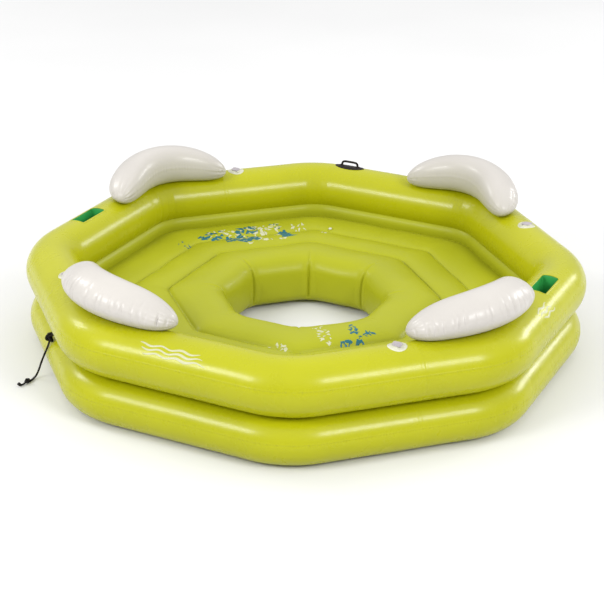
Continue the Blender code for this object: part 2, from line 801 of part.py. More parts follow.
def make_cord():
    sleeve_top = FITTING_Z - FITTING_THICKNESS / 2
    plate_shape = bmesh.new()
    plate_length = CORD_OUT + SLEEVE_RADIUS - FITTING_INNER
    bmesh.ops.create_cube(
        plate_shape,
        size=1,
        matrix=Matrix.Translation((FITTING_INNER + plate_length / 2 - CORD_OUT, 0, 0))
        @ Matrix.Diagonal((plate_length, FITTING_WIDTH, FITTING_THICKNESS, 1)),
    )
    fitting = add("cord_fitting", mesh_from(plate_shape, "cord_fitting"), HANDLE_RUBBER, smooth=False)
    fitting.matrix_world = side_matrix(CORD_SIDE, CORD_OUT, CORD_SHIFT, FITTING_Z)
    sleeve_shape = bmesh.new()
    bmesh.ops.create_cone(
        sleeve_shape,
        cap_ends=True,
        segments=16,
        radius1=SLEEVE_RADIUS - 0.0008,
        radius2=SLEEVE_RADIUS,
        depth=SLEEVE_LENGTH + FITTING_THICKNESS / 2,
        matrix=Matrix.Translation((0, 0, -(SLEEVE_LENGTH + FITTING_THICKNESS / 2) / 2)),
    )
    join(fitting, cutter("cord_sleeve", mesh_from(sleeve_shape, "cord_sleeve")))

    knots = [on_side(CORD_SIDE, *place) for place in CORD_ROUTE]
    assert knots[0].z < sleeve_top - SLEEVE_LENGTH
    curve = bpy.data.curves.new("tie_cord", "CURVE")
    curve.dimensions = "3D"
    curve.bevel_depth = CORD_RADIUS
    curve.bevel_resolution = 2
    curve.use_fill_caps = True
    spline = curve.splines.new("POLY")
    points = smooth_route(knots, CORD_POINTS)
    spline.points.add(len(points) - 1)
    for target, point in zip(spline.points, points):
        target.co = (*point, 1)
    curve.materials.append(CORD_FIBRE)
    PARTS.objects.link(bpy.data.objects.new("tie_cord", curve))

    heading = (knots[-1] - knots[-2]).normalized()
    heading.z = 0
    knot_shape = bmesh.new()
    bmesh.ops.create_uvsphere(knot_shape, u_segments=16, v_segments=10, radius=KNOT_RADIUS)
    knot = add("stopper_knot", mesh_from(knot_shape, "stopper_knot"), CORD_FIBRE)
    centre = knots[-1] + heading * (KNOT_RADIUS + 2 * GAP)
    knot.location = (centre.x, centre.y, KNOT_RADIUS + GAP)


# ---------------------------------------------------------------- the whole island
make_lower_tube()
make_upper_tube()
make_seat()
for bolster_place, bolster_corner in BOLSTER_CORNERS.items():
    make_bolster(f"{bolster_place}_bolster", bolster_corner)
for well_place, well_side in WELL_SIDES.items():
    make_drink_well(f"{well_place}_drink_well", well_side)
for valve_place, valve_side in VALVE_SIDES.items():
    make_valve(valve_place, valve_side)
make_seat_valve()
make_handle()
make_cord()
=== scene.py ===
"""Looks of the inflatable floating island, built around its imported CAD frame. Metres, +Z up."""

from math import acos, cos, pi, radians, sin, sqrt, tan

import bmesh
import bpy
import numpy as np
from mathutils import Matrix, Vector


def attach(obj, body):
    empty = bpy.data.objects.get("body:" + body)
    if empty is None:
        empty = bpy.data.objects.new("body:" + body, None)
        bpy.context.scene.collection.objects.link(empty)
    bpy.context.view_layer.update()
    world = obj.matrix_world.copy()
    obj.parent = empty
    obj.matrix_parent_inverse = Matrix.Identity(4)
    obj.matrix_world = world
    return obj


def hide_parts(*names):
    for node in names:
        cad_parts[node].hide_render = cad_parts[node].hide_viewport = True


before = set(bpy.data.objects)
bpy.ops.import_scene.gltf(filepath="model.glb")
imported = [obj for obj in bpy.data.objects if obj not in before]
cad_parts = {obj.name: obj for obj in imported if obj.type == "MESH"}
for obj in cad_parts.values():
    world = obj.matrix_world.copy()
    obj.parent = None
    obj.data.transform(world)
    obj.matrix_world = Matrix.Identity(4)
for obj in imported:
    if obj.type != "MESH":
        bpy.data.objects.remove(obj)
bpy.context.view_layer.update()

# ---- sizes shared with the CAD
SIDES = 8
HALF_SIDE = pi / SIDES
FIRST_CORNER = radians(-90)
GAP = 0.0003
WELD = 0.00002

UPPER_RADIUS = 0.1109
LOWER_RADIUS = 0.0948
UPPER_APOTHEM = 1.0633 * cos(HALF_SIDE)
LOWER_APOTHEM = 1.0727 * cos(HALF_SIDE)
CORNER_FILLET = 0.294
LOWER_CENTRE_Z = LOWER_RADIUS
UPPER_CENTRE_Z = 2 * LOWER_RADIUS + GAP + UPPER_RADIUS
CROWN_Z = UPPER_CENTRE_Z + UPPER_RADIUS

VALVE_SIDES = {"front": 0, "right": 2, "back": 4, "left": 6}
VALVE_SHIFTS = {"front": 0.009, "right": -0.040, "back": 0.0, "left": 0.0}
VALVE_HOLE = 0.0245
WELL_SIDES = {"right": 1, "left": 5}
WELL_SHIFT = 0.100
WELL_OFFSET = 0.006
WELL_LENGTH = 0.172
WELL_WIDTH = 0.070
WELL_DEPTH = 0.098
SEAT_VALVE_SIDE = 3
SEAT_VALVE_SHIFT = 0.210
SEAT_VALVE_OUT = 0.698

HANDLE_SIDE = 3
HANDLE_SHIFT = 0.252
HANDLE_TURN = radians(85)
PATCH_LENGTH = 0.144
PATCH_WIDTH = 0.066

BOLSTER_CORNERS = {"front_right": 1, "back_right": 3, "back_left": 5, "front_left": 7}

CORD_SIDE = 6
CORD_SHIFT = 0.046
CORD_RADIUS = 0.004
CORD_OUT = 1.075
SLEEVE_LENGTH = 0.020
FITTING_Z = 0.190
FITTING_THICKNESS = 0.004
KNOT_RADIUS = 0.011
CORD_EXIT_Z = FITTING_Z - FITTING_THICKNESS / 2 - SLEEVE_LENGTH - GAP
CORD_ROUTE = (
    (CORD_OUT, CORD_SHIFT, CORD_EXIT_Z),
    (CORD_OUT, CORD_SHIFT, CORD_EXIT_Z - 0.006),
    (CORD_OUT + 0.008, CORD_SHIFT + 0.002, 0.140),
    (CORD_OUT + 0.023, CORD_SHIFT + 0.004, 0.108),
    (CORD_OUT + 0.036, CORD_SHIFT + 0.003, 0.078),
    (CORD_OUT + 0.047, CORD_SHIFT - 0.002, 0.044),
    (CORD_OUT + 0.059, CORD_SHIFT - 0.006, 0.016),
    (CORD_OUT + 0.075, CORD_SHIFT + 0.002, 0.0050),
    (CORD_OUT + 0.093, CORD_SHIFT + 0.018, 0.0048),
)


# ---- small helpers
def side_angle(side):
    return FIRST_CORNER + (2 * side + 1) * HALF_SIDE


def on_side(side, out, along, height):
    turn = side_angle(side)
    return Vector((out * cos(turn) - along * sin(turn), out * sin(turn) + along * cos(turn), height))


def side_matrix(side, out, along, height):
    """Local X runs out from the middle, local Y along the side, local Z up."""
    return Matrix.Translation(on_side(side, out, along, height)) @ Matrix.Rotation(side_angle(side), 4, "Z")


def smoothstep(low, high, x):
    t = np.clip((np.asarray(x, float) - low) / (high - low), 0, 1)
    return t * t * (3 - 2 * t)


def bump_at(x, centre, width):
    return np.exp(-(((np.asarray(x, float) - centre) / width) ** 2))


def ring_noise(t, low, high, count, seed):
    """A wavy line that closes on itself as t runs from 0 to 1, from waves of low to high cycles."""
    rng = np.random.default_rng(seed)
    total = np.zeros_like(np.asarray(t, float))
    for _ in range(count):
        total = total + np.cos(2 * pi * (rng.integers(low, high) * t + rng.random()))
    return total / sqrt(count)


def grid_faces(rows, cols, wrap_rows=False, skip=None, start=0):
    """Quads over rings of points, without those in skip."""
    faces = []
    for r in range(rows if wrap_rows else rows - 1):
        r2 = (r + 1) % rows
        for c in range(cols):
            if skip is not None and skip[r, c]:
                continue
            c2 = (c + 1) % cols
            low = start + r * cols
            high = start + r2 * cols
            faces.append((low + c, low + c2, high + c2, high + c))
    return faces


def close_end(faces, start, count):
    """One flat face over a ring of this many points."""
    faces.append(tuple(range(start, start + count)))


def link(name, data):
    made = bpy.data.objects.new(name, data)
    bpy.context.scene.collection.objects.link(made)
    return made


def join(points, faces, more, more_faces):
    start = len(points)
    points += more
    faces += [tuple(start + k for k in face) for face in more_faces]


def piece(name, points, faces, surface, slot, body="island", stands_for=(), weld=0.0):
    """A smooth mesh object that rides on a body. weld joins points that are this close."""
    mesh = bpy.data.meshes.new(name)
    mesh.from_pydata([tuple(p) for p in points], [], faces)
    shape = bmesh.new()
    shape.from_mesh(mesh)
    if weld:
        bmesh.ops.remove_doubles(shape, verts=shape.verts, dist=weld)
    bmesh.ops.delete(shape, geom=[v for v in shape.verts if not v.link_faces], context="VERTS")
    bmesh.ops.recalc_face_normals(shape, faces=shape.faces)
    shape.to_mesh(mesh)
    shape.free()
    mesh.shade_smooth()
    mesh.materials.append(surface)
    made = link(name, mesh)
    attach(made, body)
    if stands_for:
        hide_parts(*stands_for)
    return made


def catmull(points, count):
    """Points evenly placed on a Catmull-Rom curve through the given ones."""
    knots = [np.asarray(p, float) for p in points]
    knots = [2 * knots[0] - knots[1], *knots, 2 * knots[-1] - knots[-2]]
    fine = []
    for k in range(1, len(knots) - 2):
        p0, p1, p2, p3 = knots[k - 1 : k + 3]
        for t in np.arange(24) / 24:
            curve = 2 * p1 + (p2 - p0) * t + (2 * p0 - 5 * p1 + 4 * p2 - p3) * t * t
            fine.append(0.5 * (curve + (3 * p1 - p0 - 3 * p2 + p3) * t * t * t))
    fine = np.array([*fine, knots[-2]])
    run = np.concatenate(([0], np.cumsum(np.linalg.norm(np.diff(fine, axis=0), axis=1))))
    wanted = np.linspace(0, run[-1], count)
    return np.stack([np.interp(wanted, run, fine[:, k]) for k in range(fine.shape[1])], axis=1)


def sweep(path, section, closed=False):
    """Rings of points round a path. section(k, part) gives the (across, up) points of ring k."""
    path = np.asarray(path, float)
    if closed:
        tangents = np.roll(path, -1, axis=0) - np.roll(path, 1, axis=0)
    else:
        tangents = np.gradient(path, axis=0)
    tangents /= np.linalg.norm(tangents, axis=1)[:, None]
    normal = np.cross(tangents[0], (0.0, 0.0, 1.0))
    if np.linalg.norm(normal) < 0.1:
        normal = np.cross(tangents[0], (0.0, 1.0, 0.0))
    points = []
    count = 0
    for k, (place, tangent) in enumerate(zip(path, tangents)):
        normal = normal - tangent * np.dot(normal, tangent)
        normal /= np.linalg.norm(normal)
        other = np.cross(tangent, normal)
        ring = np.asarray(section(k, k / (len(path) - 1)), float)
        count = len(ring)
        points.extend(place + normal * a + other * b for a, b in ring)
    faces = grid_faces(len(path), count, closed)
    if not closed:
        close_end(faces, 0, count)
        close_end(faces, (len(path) - 1) * count, count)
    return points, faces


def revolve(profile, place, around, drape=None):
    """A turned body from (radius, height) points. drape(x, y, radius) lowers a point to lie on the film."""
    turns = np.linspace(0, 2 * pi, around, endpoint=False)
    points = []
    for radius, height in profile:
        for turn in turns:
            x = radius * cos(turn)
            y = radius * sin(turn)
            points.append(place @ Vector((x, y, height + (drape(x, y, radius) if drape else 0.0))))
    return points, grid_faces(len(profile), around)


def rounded_rectangle(half_x, half_y, corner, per_corner=8, per_edge=10):
    """Points round a rounded rectangle, evenly matched whatever its size."""
    points = []
    for quarter, (sx, sy) in enumerate(((1, 1), (-1, 1), (-1, -1), (1, -1))):
        centre = (sx * (half_x - corner), sy * (half_y - corner))
        for k in range(per_corner + 1):
            turn = pi / 2 * (quarter + k / per_corner)
            points.append((centre[0] + corner * cos(turn), centre[1] + corner * sin(turn)))
        after = ((-1, 1), (-1, -1), (1, -1), (1, 1))[quarter]
        turn = pi / 2 * (quarter + 1)
        target = (
            after[0] * (half_x - corner) + corner * cos(turn),
            after[1] * (half_y - corner) + corner * sin(turn),
        )
        here = points[-1]
        for k in range(1, per_edge):
            part = k / per_edge
            points.append((here[0] + (target[0] - here[0]) * part, here[1] + (target[1] - here[1]) * part))
    return points


# ---- materials
def nodes_of(name):
    made = bpy.data.materials.new(name)
    made.use_nodes = True
    tree = made.node_tree
    return made, tree, tree.nodes["Principled BSDF"]


def put(node, **values):
    """Sets a node's sockets, with _ for the spaces in their names."""
    for socket, value in values.items():
        node.inputs[socket.replace("_", " ")].default_value = value


def noise(tree, scale, detail=3.0, roughness=0.5):
    made = tree.nodes.new("ShaderNodeTexNoise")
    put(made, Scale=scale, Detail=detail, Roughness=roughness)
    tree.links.new(tree.nodes.new("ShaderNodeTexCoord").outputs["Object"], made.inputs["Vector"])
    return made.outputs["Fac"]


def ramp(tree, value, *stops):
    """A colour ramp with (place, colour or grey) stops."""
    made = tree.nodes.new("ShaderNodeValToRGB")
    while len(made.color_ramp.elements) < len(stops):
        made.color_ramp.elements.new(0.5)
    for element, (place, colour) in zip(made.color_ramp.elements, stops):
        element.position = place
        element.color = (*colour, 1) if hasattr(colour, "__len__") else (colour, colour, colour, 1)
    tree.links.new(value, made.inputs["Fac"])
    return made.outputs["Color"]


def bump(tree, surface, height, distance, before=None):
    made = tree.nodes.new("ShaderNodeBump")
    put(made, Distance=distance, Strength=1.0)
    tree.links.new(height, made.inputs["Height"])
    if before is not None:
        tree.links.new(before, made.inputs["Normal"])
    tree.links.new(made.outputs["Normal"], surface.inputs["Normal"])
    return made.outputs["Normal"]


def vinyl(name, light, dark, rough=(0.20, 0.29), coat=0.25, shine=0.42, dents=0.0004):
    """Glossy film: cloudy tint, roughness that wanders a little, and soft sags."""
    made, tree, surface = nodes_of(name)
    tint = ramp(tree, noise(tree, 2.3, 4.0, 0.55), (0.32, dark), (0.68, light))
    tree.links.new(tint, surface.inputs["Base Color"])
    wander = ramp(tree, noise(tree, 9.0, 5.0, 0.6), (0.3, rough[0]), (0.7, rough[1]))
    tree.links.new(wander, surface.inputs["Roughness"])
    soft = bump(tree, surface, noise(tree, 18.0, 1.5), dents)
    bump(tree, surface, noise(tree, 240.0, 1.0), 0.000025, before=soft)
    put(surface, Specular_IOR_Level=shine, Coat_Weight=coat, Coat_Roughness=0.10)
    return made


def plastic(name, light, dark, rough=(0.3, 0.42), grain=0.00008, scale=700.0, shine=0.4):
    """Plastic, rubber or fibre: fine grain, with a tint and roughness that wander."""
    made, tree, surface = nodes_of(name)
    tint = ramp(tree, noise(tree, 40.0), (0.35, dark), (0.65, light))
    tree.links.new(tint, surface.inputs["Base Color"])
    wander = ramp(tree, noise(tree, 90.0), (0.3, rough[0]), (0.7, rough[1]))
    tree.links.new(wander, surface.inputs["Roughness"])
    bump(tree, surface, noise(tree, scale, 3.0), grain)
    put(surface, Specular_IOR_Level=shine)
    return made


TUBE_VINYL = vinyl(
    "tube_vinyl", (0.388, 0.390, 0.003), (0.350, 0.357, 0.003),
    rough=(0.24, 0.32), coat=0.08, shine=0.27,
)
SEAT_VINYL = vinyl(
    "seat_vinyl", (0.335, 0.350, 0.010), (0.305, 0.322, 0.011),
    rough=(0.36, 0.46), coat=0.02, shine=0.18,
)
PILLOW_VINYL = vinyl(
    "pillow_vinyl", (0.505, 0.480, 0.447), (0.460, 0.436, 0.407),
    rough=(0.28, 0.36), coat=0.08, shine=0.3, dents=0.0002,
)
WELL_VINYL = vinyl(
    "well_vinyl", (0.034, 0.33, 0.075), (0.026, 0.25, 0.056),
    rough=(0.3, 0.4), coat=0.1,
)
VALVE_PLASTIC = plastic("valve_plastic", (0.56, 0.56, 0.44), (0.50, 0.50, 0.38))
CAP_PLASTIC = plastic("cap_plastic", (0.40, 0.36, 0.38), (0.34, 0.31, 0.33))
HANDLE_RUBBER = plastic(
    "handle_rubber", (0.018, 0.013, 0.011), (0.010, 0.007, 0.006),
    rough=(0.45, 0.6), grain=0.0002, shine=0.18,
)
CORD_FIBRE = plastic(
    "cord_fibre", (0.020, 0.018, 0.017), (0.007, 0.006, 0.006),
    rough=(0.75, 0.88), grain=0.0004, scale=1600.0, shine=0.15,
)
PRINT_WHITE = vinyl(
    "print_white", (0.50, 0.50, 0.34), (0.44, 0.45, 0.26),
    rough=(0.35, 0.45), coat=0.05, shine=0.3,
)
PRINT_BLUE = vinyl(
    "print_blue", (0.008, 0.125, 0.170), (0.006, 0.092, 0.125),
    rough=(0.35, 0.45), coat=0.05, shine=0.3,
)


# ---- the tubes
def path_at(apothem, fillet, s):
    """(out, along, turn) at a run s from a side's middle, as far as half of each corner."""
    straight = (apothem - fillet) * tan(HALF_SIDE)
    run = np.abs(s)
    turn = np.clip((run - straight) / fillet, 0, None)
    out = apothem - fillet + fillet * np.cos(turn)
    along = np.where(run <= straight, run, straight + fillet * np.sin(turn))
    return out, along * np.sign(s), turn * np.sign(s)


def half_run(apothem, fillet):
    return (apothem - fillet) * tan(HALF_SIDE) + fillet * HALF_SIDE


def tube_surface(apothem, radius, centre_z, side, s, turn_round):
    """Points on a tube. side and s say where along it, turn_round where on its section: 0 outside, 90 up."""
    out, along, heading = path_at(apothem, CORNER_FILLET, s)
    base = side_angle(side)
    x = out * np.cos(base) - along * np.sin(base)
    y = out * np.sin(base) + along * np.cos(base)
    reach = radius * np.cos(turn_round)
    x = x + reach * np.cos(base + heading)
    y = y + reach * np.sin(base + heading)
    z = centre_z + radius * np.sin(turn_round)
    return np.stack(np.broadcast_arrays(x, y, z), axis=-1)


def on_upper_tube(side, along, turn_round, height):
    """A point over the straight run of an upper side, at this height off the film."""
    reach = UPPER_RADIUS + height
    out = UPPER_APOTHEM + reach * cos(turn_round)
    return on_side(side, out, along, UPPER_CENTRE_Z + reach * sin(turn_round))


LAP_SIDES = (0, 2, 4, 6)
LAP_SHIFT = 0.075
LAP_WIDTH = 0.012
LAP_EASE = 0.0014
LAP_HEIGHT = 0.0006
DIMPLE_PITCH = 0.0118
DIMPLE_DEPTH = 0.0019
DIMPLE_EXTRA_AT_CORNERS = 0.0008
TUBE_STEPS_ROUND = 64
SEAM_REACH = 0.0105


def dimples(t, length, seed):
    """Short uneven pulses along a ring of this length, from 0 to about 1."""
    wander = 1.5 * ring_noise(t, 20, 90, 12, seed)
    pulse = np.clip(np.cos(2 * pi * round(length / DIMPLE_PITCH) * t + wander) - 0.15, 0, None) / 0.85
    return pulse * np.clip(0.65 + 0.45 * ring_noise(t, 60, 240, 12, seed + 1), 0, 1.4)


def tube_relief(t, side, s, turn_round, radius, half, straight, seam_turn, seed):
    """How far the film stands off its circle: seam, puckers, laps and slack corners."""
    corner = smoothstep(straight - 0.06, straight + 0.09, np.abs(s))
    off_seam = (turn_round - seam_turn) * radius
    ripple = dimples(t, 2 * half * SIDES, seed)
    depth = DIMPLE_DEPTH + DIMPLE_EXTRA_AT_CORNERS * corner
    both_sides = bump_at(off_seam, -0.0050, 0.0046) + 0.5 * bump_at(off_seam, 0.0060, 0.0040)
    relief = -depth * ripple * both_sides
    relief = relief + 0.0008 * bump_at(off_seam, 0.0003, 0.0017) - 0.0003 * bump_at(off_seam, -0.002, 0.008)
    inner = bump_at(np.cos(turn_round), -0.95, 0.35)
    folds = ring_noise(t, 60, 110, 8, seed + 2)
    relief = relief - 0.0011 * corner * inner * np.clip(folds, 0, None)
    relief = relief + 0.00035 * ring_noise(t, 8, 22, 6, seed + 3) * np.sin(turn_round * 2 + 5 * t)
    begin = LAP_SHIFT - LAP_WIDTH / 2
    end = LAP_SHIFT + LAP_WIDTH / 2
    lap = smoothstep(begin - LAP_EASE, begin + LAP_EASE, s)
    lap = lap * (1 - smoothstep(end - LAP_EASE, end + LAP_EASE, s))
    return relief + LAP_HEIGHT * lap * np.isin(side, LAP_SIDES)


def section_turns(radius, seam_turn, edges):
    """Turns round a tube's section: even, finer across the seam, and exact at the edges of a cut."""
    coarse = np.linspace(-pi, pi, TUBE_STEPS_ROUND, endpoint=False)
    for edge in edges:
        coarse[np.argmin(np.abs(coarse - edge))] = edge
    reach = SEAM_REACH / radius
    coarse = coarse[np.abs(coarse - seam_turn) > reach + 0.02]
    return np.sort(np.concatenate((coarse, seam_turn + np.linspace(-reach, reach, 15))))


def make_tube(name, apothem, radius, centre_z, seam_turn, seed, stands_for, wells):
    """A ring of film. With wells, it is open at the drink wells and valves."""
    half = half_run(apothem, CORNER_FILLET)
    straight = (apothem - CORNER_FILLET) * tan(HALF_SIDE)
    per_side = 288
    cell = np.linspace(-half, half, per_side, endpoint=False)
    edges = [acos((WELL_OFFSET + sign * WELL_WIDTH / 2) / radius) for sign in (1, -1)] if wells else []
    rounds = section_turns(radius, seam_turn, edges)
    cuts = (WELL_SHIFT - WELL_LENGTH / 2, WELL_SHIFT + WELL_LENGTH / 2)
    side = np.repeat(np.arange(SIDES), per_side)
    s = np.tile(cell, SIDES)
    for edge in cuts:
        k = np.argmin(np.abs(cell - edge))
        s[k::per_side] = edge
    t = (side + (s + half) / (2 * half)) / SIDES
    T, S, SIDE = t[:, None], s[:, None], side[:, None]
    P = rounds[None, :]
    relief = tube_relief(T, SIDE, S, P, radius, half, straight, seam_turn, seed)
    points = tube_surface(apothem, radius + relief, centre_z, SIDE, S, P)
    points[..., 2] = np.maximum(points[..., 2], 0.0)  # flat where it rests on the ground
    skip = None
    if wells:
        inside_s = (S >= cuts[0] - 1e-6) & (S < cuts[1] - 1e-6)
        inside_s = inside_s & np.isin(SIDE, list(WELL_SIDES.values()))
        inside_p = (P >= min(edges) - 1e-6) & (P < max(edges) - 1e-6)
        skip = inside_s & inside_p
        middle_s = S + half / per_side
        middle_p = (P + np.roll(P, -1, axis=1)) / 2
        for place, valve_side in VALVE_SIDES.items():
            across = radius * np.cos(middle_p)
            near = np.hypot(middle_s - VALVE_SHIFTS[place], across) < VALVE_HOLE
            skip = skip | (near & (SIDE == valve_side) & (np.sin(middle_p) > 0))
    faces = grid_faces(len(s), len(rounds), True, skip)
    return piece(name, points.reshape(-1, 3), faces, TUBE_VINYL, "tube_vinyl", stands_for=stands_for)


upper_nodes = [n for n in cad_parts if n.startswith("upper_tube_panel")]
lower_nodes = [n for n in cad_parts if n.startswith("lower_tube_panel")]
make_tube("upper_tube", UPPER_APOTHEM, UPPER_RADIUS, UPPER_CENTRE_Z, radians(16), 11, upper_nodes, True)
make_tube("lower_tube", LOWER_APOTHEM, LOWER_RADIUS, LOWER_CENTRE_Z, radians(14), 23, lower_nodes, False)


# ---- the seat floor
SEAT_EDGE = 0.873
SEAT_EDGE_Z = 0.1930
OUTER_CREASE = 0.6745
OUTER_CREASE_Z = 0.1990
INNER_CREASE = 0.5257
INNER_CREASE_Z = 0.1985
CREASE_DIP = 0.0022
CREASE_WIDTH = 0.0075
UNDER_CREASE_Z = 0.0265
STRIP_FOOT_Z = 0.1910
STRIP_TOP = (0.8855, 0.2475)
STRIP_SKIN = 0.0016
# (out, corner fillet): how round the octagon is at each distance from the middle
SEAT_FILLETS = (
    (0.28, 0.10), (0.315, 0.10), (0.335, 0.17), (0.39, 0.20), (0.46, 0.10), (INNER_CREASE, 0.055),
    (OUTER_CREASE, 0.05), (0.80, 0.12), (SEAT_EDGE, 0.19), (0.925, 0.237),
)
# (out, height) over the innermost chamber and down the wall of the foot well
RING_SHAPE = (
    (INNER_CREASE, INNER_CREASE_Z), (0.5130, 0.2115), (0.4850, 0.2240), (0.4450, 0.2305),
    (0.4080, 0.2320), (0.3770, 0.2290), (0.3500, 0.2210), (0.3290, 0.2045), (0.3150, 0.1780),
    (0.3090, 0.1450), (0.3070, 0.1050), (0.3090, 0.0680), (0.3160, 0.0380), (0.3340, 0.0225),
)


def octagon_point(out, fillet, side, part):
    """A point on a round-cornered octagon: part runs from -1 to 1 along its side."""
    o, along, _ = path_at(out, fillet, part * half_run(out, fillet))
    base = side_angle(side)
    return o * np.cos(base) - along * np.sin(base), o * np.sin(base) + along * np.cos(base)


def seat_fillet(out):
    return np.interp(out, [o for o, _ in SEAT_FILLETS], [r for _, r in SEAT_FILLETS])


def chamber(start, end, z_start, z_end, rise, steps, ease=0.0):
    """(out, height) over one inflated chamber, from crease to crease. ease softens its first edge."""
    part = np.linspace(0, 1, steps + 1)
    part = 0.5 - 0.5 * np.cos(pi * part)
    arch = rise * (1 - (2 * part - 1) ** 2) ** (0.62 + ease * (1 - part) ** 2)
    return np.stack((start + (end - start) * part, z_start + (z_end - z_start) * part + arch), axis=1)


def seat_top():
    """(out, height) along the seat's top, from its outer edge to where it turns down into the well."""
    first = chamber(SEAT_EDGE, OUTER_CREASE, SEAT_EDGE_Z, OUTER_CREASE_Z, 0.0190, 30, 0.55)
    second = chamber(OUTER_CREASE, INNER_CREASE, OUTER_CREASE_Z, INNER_CREASE_Z, 0.0185, 26)[1:]
    top = np.concatenate((first, second, catmull(RING_SHAPE, 76)[1:]))
    for crease in (OUTER_CREASE, INNER_CREASE):
        top[:, 1] -= CREASE_DIP * bump_at(top[:, 0], crease, CREASE_WIDTH) * (top[:, 1] > 0.15)
    return top


def seat_profile():
    """The closed section of the seat: its top, its underside and its outer wall."""
    below = [(0.37, 0.0200), (0.43, 0.0195), (INNER_CREASE, UNDER_CREASE_Z), (0.60, 0.0200)]
    below += [(OUTER_CREASE, UNDER_CREASE_Z), (0.76, 0.0210)]
    wall = [(0.84, 0.025), (0.868, 0.040), (0.880, 0.076), (0.884, 0.115), (0.882, 0.150), (0.877, 0.178)]
    return np.concatenate((seat_top(), np.array(below), np.array(wall)))


def sag(x, y):
    """Slow rises and dips of a filled floor, in metres."""
    rng = np.random.default_rng(41)
    total = 0.0
    for _ in range(9):
        heading = rng.random() * 2 * pi
        waves = rng.uniform(9, 42)
        total = total + np.cos(waves * (x * cos(heading) + y * sin(heading)) + rng.random() * 2 * pi)
    return 0.0004 * total


SEAT_TOP = seat_top()[:96]  # as far as the part that runs inwards


def on_seat(side, out, along, height):
    """A point this far above the seat's top film."""
    place = on_side(side, out, along, 0.0)
    level = float(np.interp(out, SEAT_TOP[::-1, 0], SEAT_TOP[::-1, 1]))
    place.z = level + float(sag(place.x, place.y)) + height
    return place


def make_seat():
    profile = seat_profile()
    per_side = 84
    x = np.linspace(-1, 1, per_side, endpoint=False)
    part = np.sign(x) * (1 - (1 - np.abs(x)) ** 1.5)
    side = np.repeat(np.arange(SIDES), per_side)[:, None]
    part = np.tile(part, SIDES)[:, None]
    out = profile[None, :, 0] + 0 * part
    z = profile[None, :, 1] + 0 * part
    fillet = seat_fillet(out)
    from_corner = (1 - np.abs(part)) * half_run(out, fillet)
    on_wall = smoothstep(0.42, 0.33, out) * smoothstep(0.030, 0.060, z)
    groove = bump_at(from_corner, 0, 0.0045)
    swell = bump_at(from_corner, 0.014, 0.010)
    inward = 0.0060 * (1 - part**2) ** 0.6 - 0.0055 * groove + 0.0014 * swell
    rim = smoothstep(0.165, 0.225, z)
    out = out - on_wall * inward * (1 - rim)
    z = z - rim * on_wall * (0.0042 * groove - 0.0012 * swell)
    px, py = octagon_point(out, fillet, side, part)
    z = z + smoothstep(0.15, 0.19, z) * sag(px, py)
    points = np.stack((px, py, z), axis=-1).reshape(-1, 3)
    faces = grid_faces(part.shape[0], profile.shape[0], True)
    panels = [f"seat_panel_{k + 1}" for k in range(SIDES)]
    piece("seat_floor", points, faces, SEAT_VINYL, "seat_vinyl", stands_for=panels)


def make_strip():
    """The band of film that joins the seat's edge to the upper tube."""
    per_side = 48
    part = np.tile(np.linspace(-1, 1, per_side, endpoint=False), SIDES)[:, None]
    side = np.repeat(np.arange(SIDES), per_side)[:, None]
    run = 0.5 - 0.5 * np.cos(pi * np.linspace(0, 1, 17))
    out_run = SEAT_EDGE - 0.001 + (STRIP_TOP[0] - SEAT_EDGE) * run
    rise_run = STRIP_FOOT_Z + (STRIP_TOP[1] - STRIP_FOOT_Z) * run
    top = np.stack((out_run, rise_run), axis=1)
    top[:, 0] -= 0.0085 * np.sin(pi * run**1.3) ** 0.8
    back = top[::-1] + (STRIP_SKIN, 0.0)
    section = np.concatenate((top, back))
    out = section[None, :, 0] + 0 * part
    z = section[None, :, 1] + 0 * part
    px, py = octagon_point(out, seat_fillet(out), side, part)
    points = np.stack((px, py, z), axis=-1).reshape(-1, 3)
    faces = grid_faces(part.shape[0], len(section), True)
    piece("seat_joining_strip", points, faces, SEAT_VINYL, "seat_vinyl", stands_for=["seat_strip"])


make_seat()
make_strip()


# ---- bolsters
BOLSTER_HALF_LENGTH = 0.3231
BOLSTER_REACH = 1.0325
BOLSTER_FILLET = 0.3583
BOLSTER_HALF_WIDTH = 0.0839
BOLSTER_HALF_HEIGHT = 0.0827
BOLSTER_BLUNTNESS = 5.79
BOLSTER_END_TAPER = 0.3307
BOLSTER_END_NARROWING = 0.0811
BOLSTER_OUTWARD = 0.2269
BOLSTER_END_SHIFT = 0.0244
BOLSTER_END_DROP = 0.0279
BOLSTER_SINK = 0.0028
BOLSTER_LEAN = 0.0051
BOLSTER_CLEARANCE = 0.0005
BOLSTER_WELD = 0.0002
BOLSTER_SEAM = 0.023  # girth from the outermost line up to the seam
PUCKER_PITCH = 0.0275
PUCKER_DEPTH = 0.0058
INNER_PUCKER_DEPTH = 0.0022


def corner_station(distance):
    """(x, y, heading) round a corner, in a frame whose +X points to that corner."""
    centre = BOLSTER_REACH - BOLSTER_FILLET / cos(HALF_SIDE)
    bend = BOLSTER_FILLET * HALF_SIDE
    turn = np.clip(distance / BOLSTER_FILLET, -HALF_SIDE, HALF_SIDE)
    rest = distance - np.clip(distance, -bend, bend)
    x = centre + BOLSTER_FILLET * np.cos(turn) - rest * np.sin(turn)
    y = BOLSTER_FILLET * np.sin(turn) + rest * np.cos(turn)
    return x, y, turn


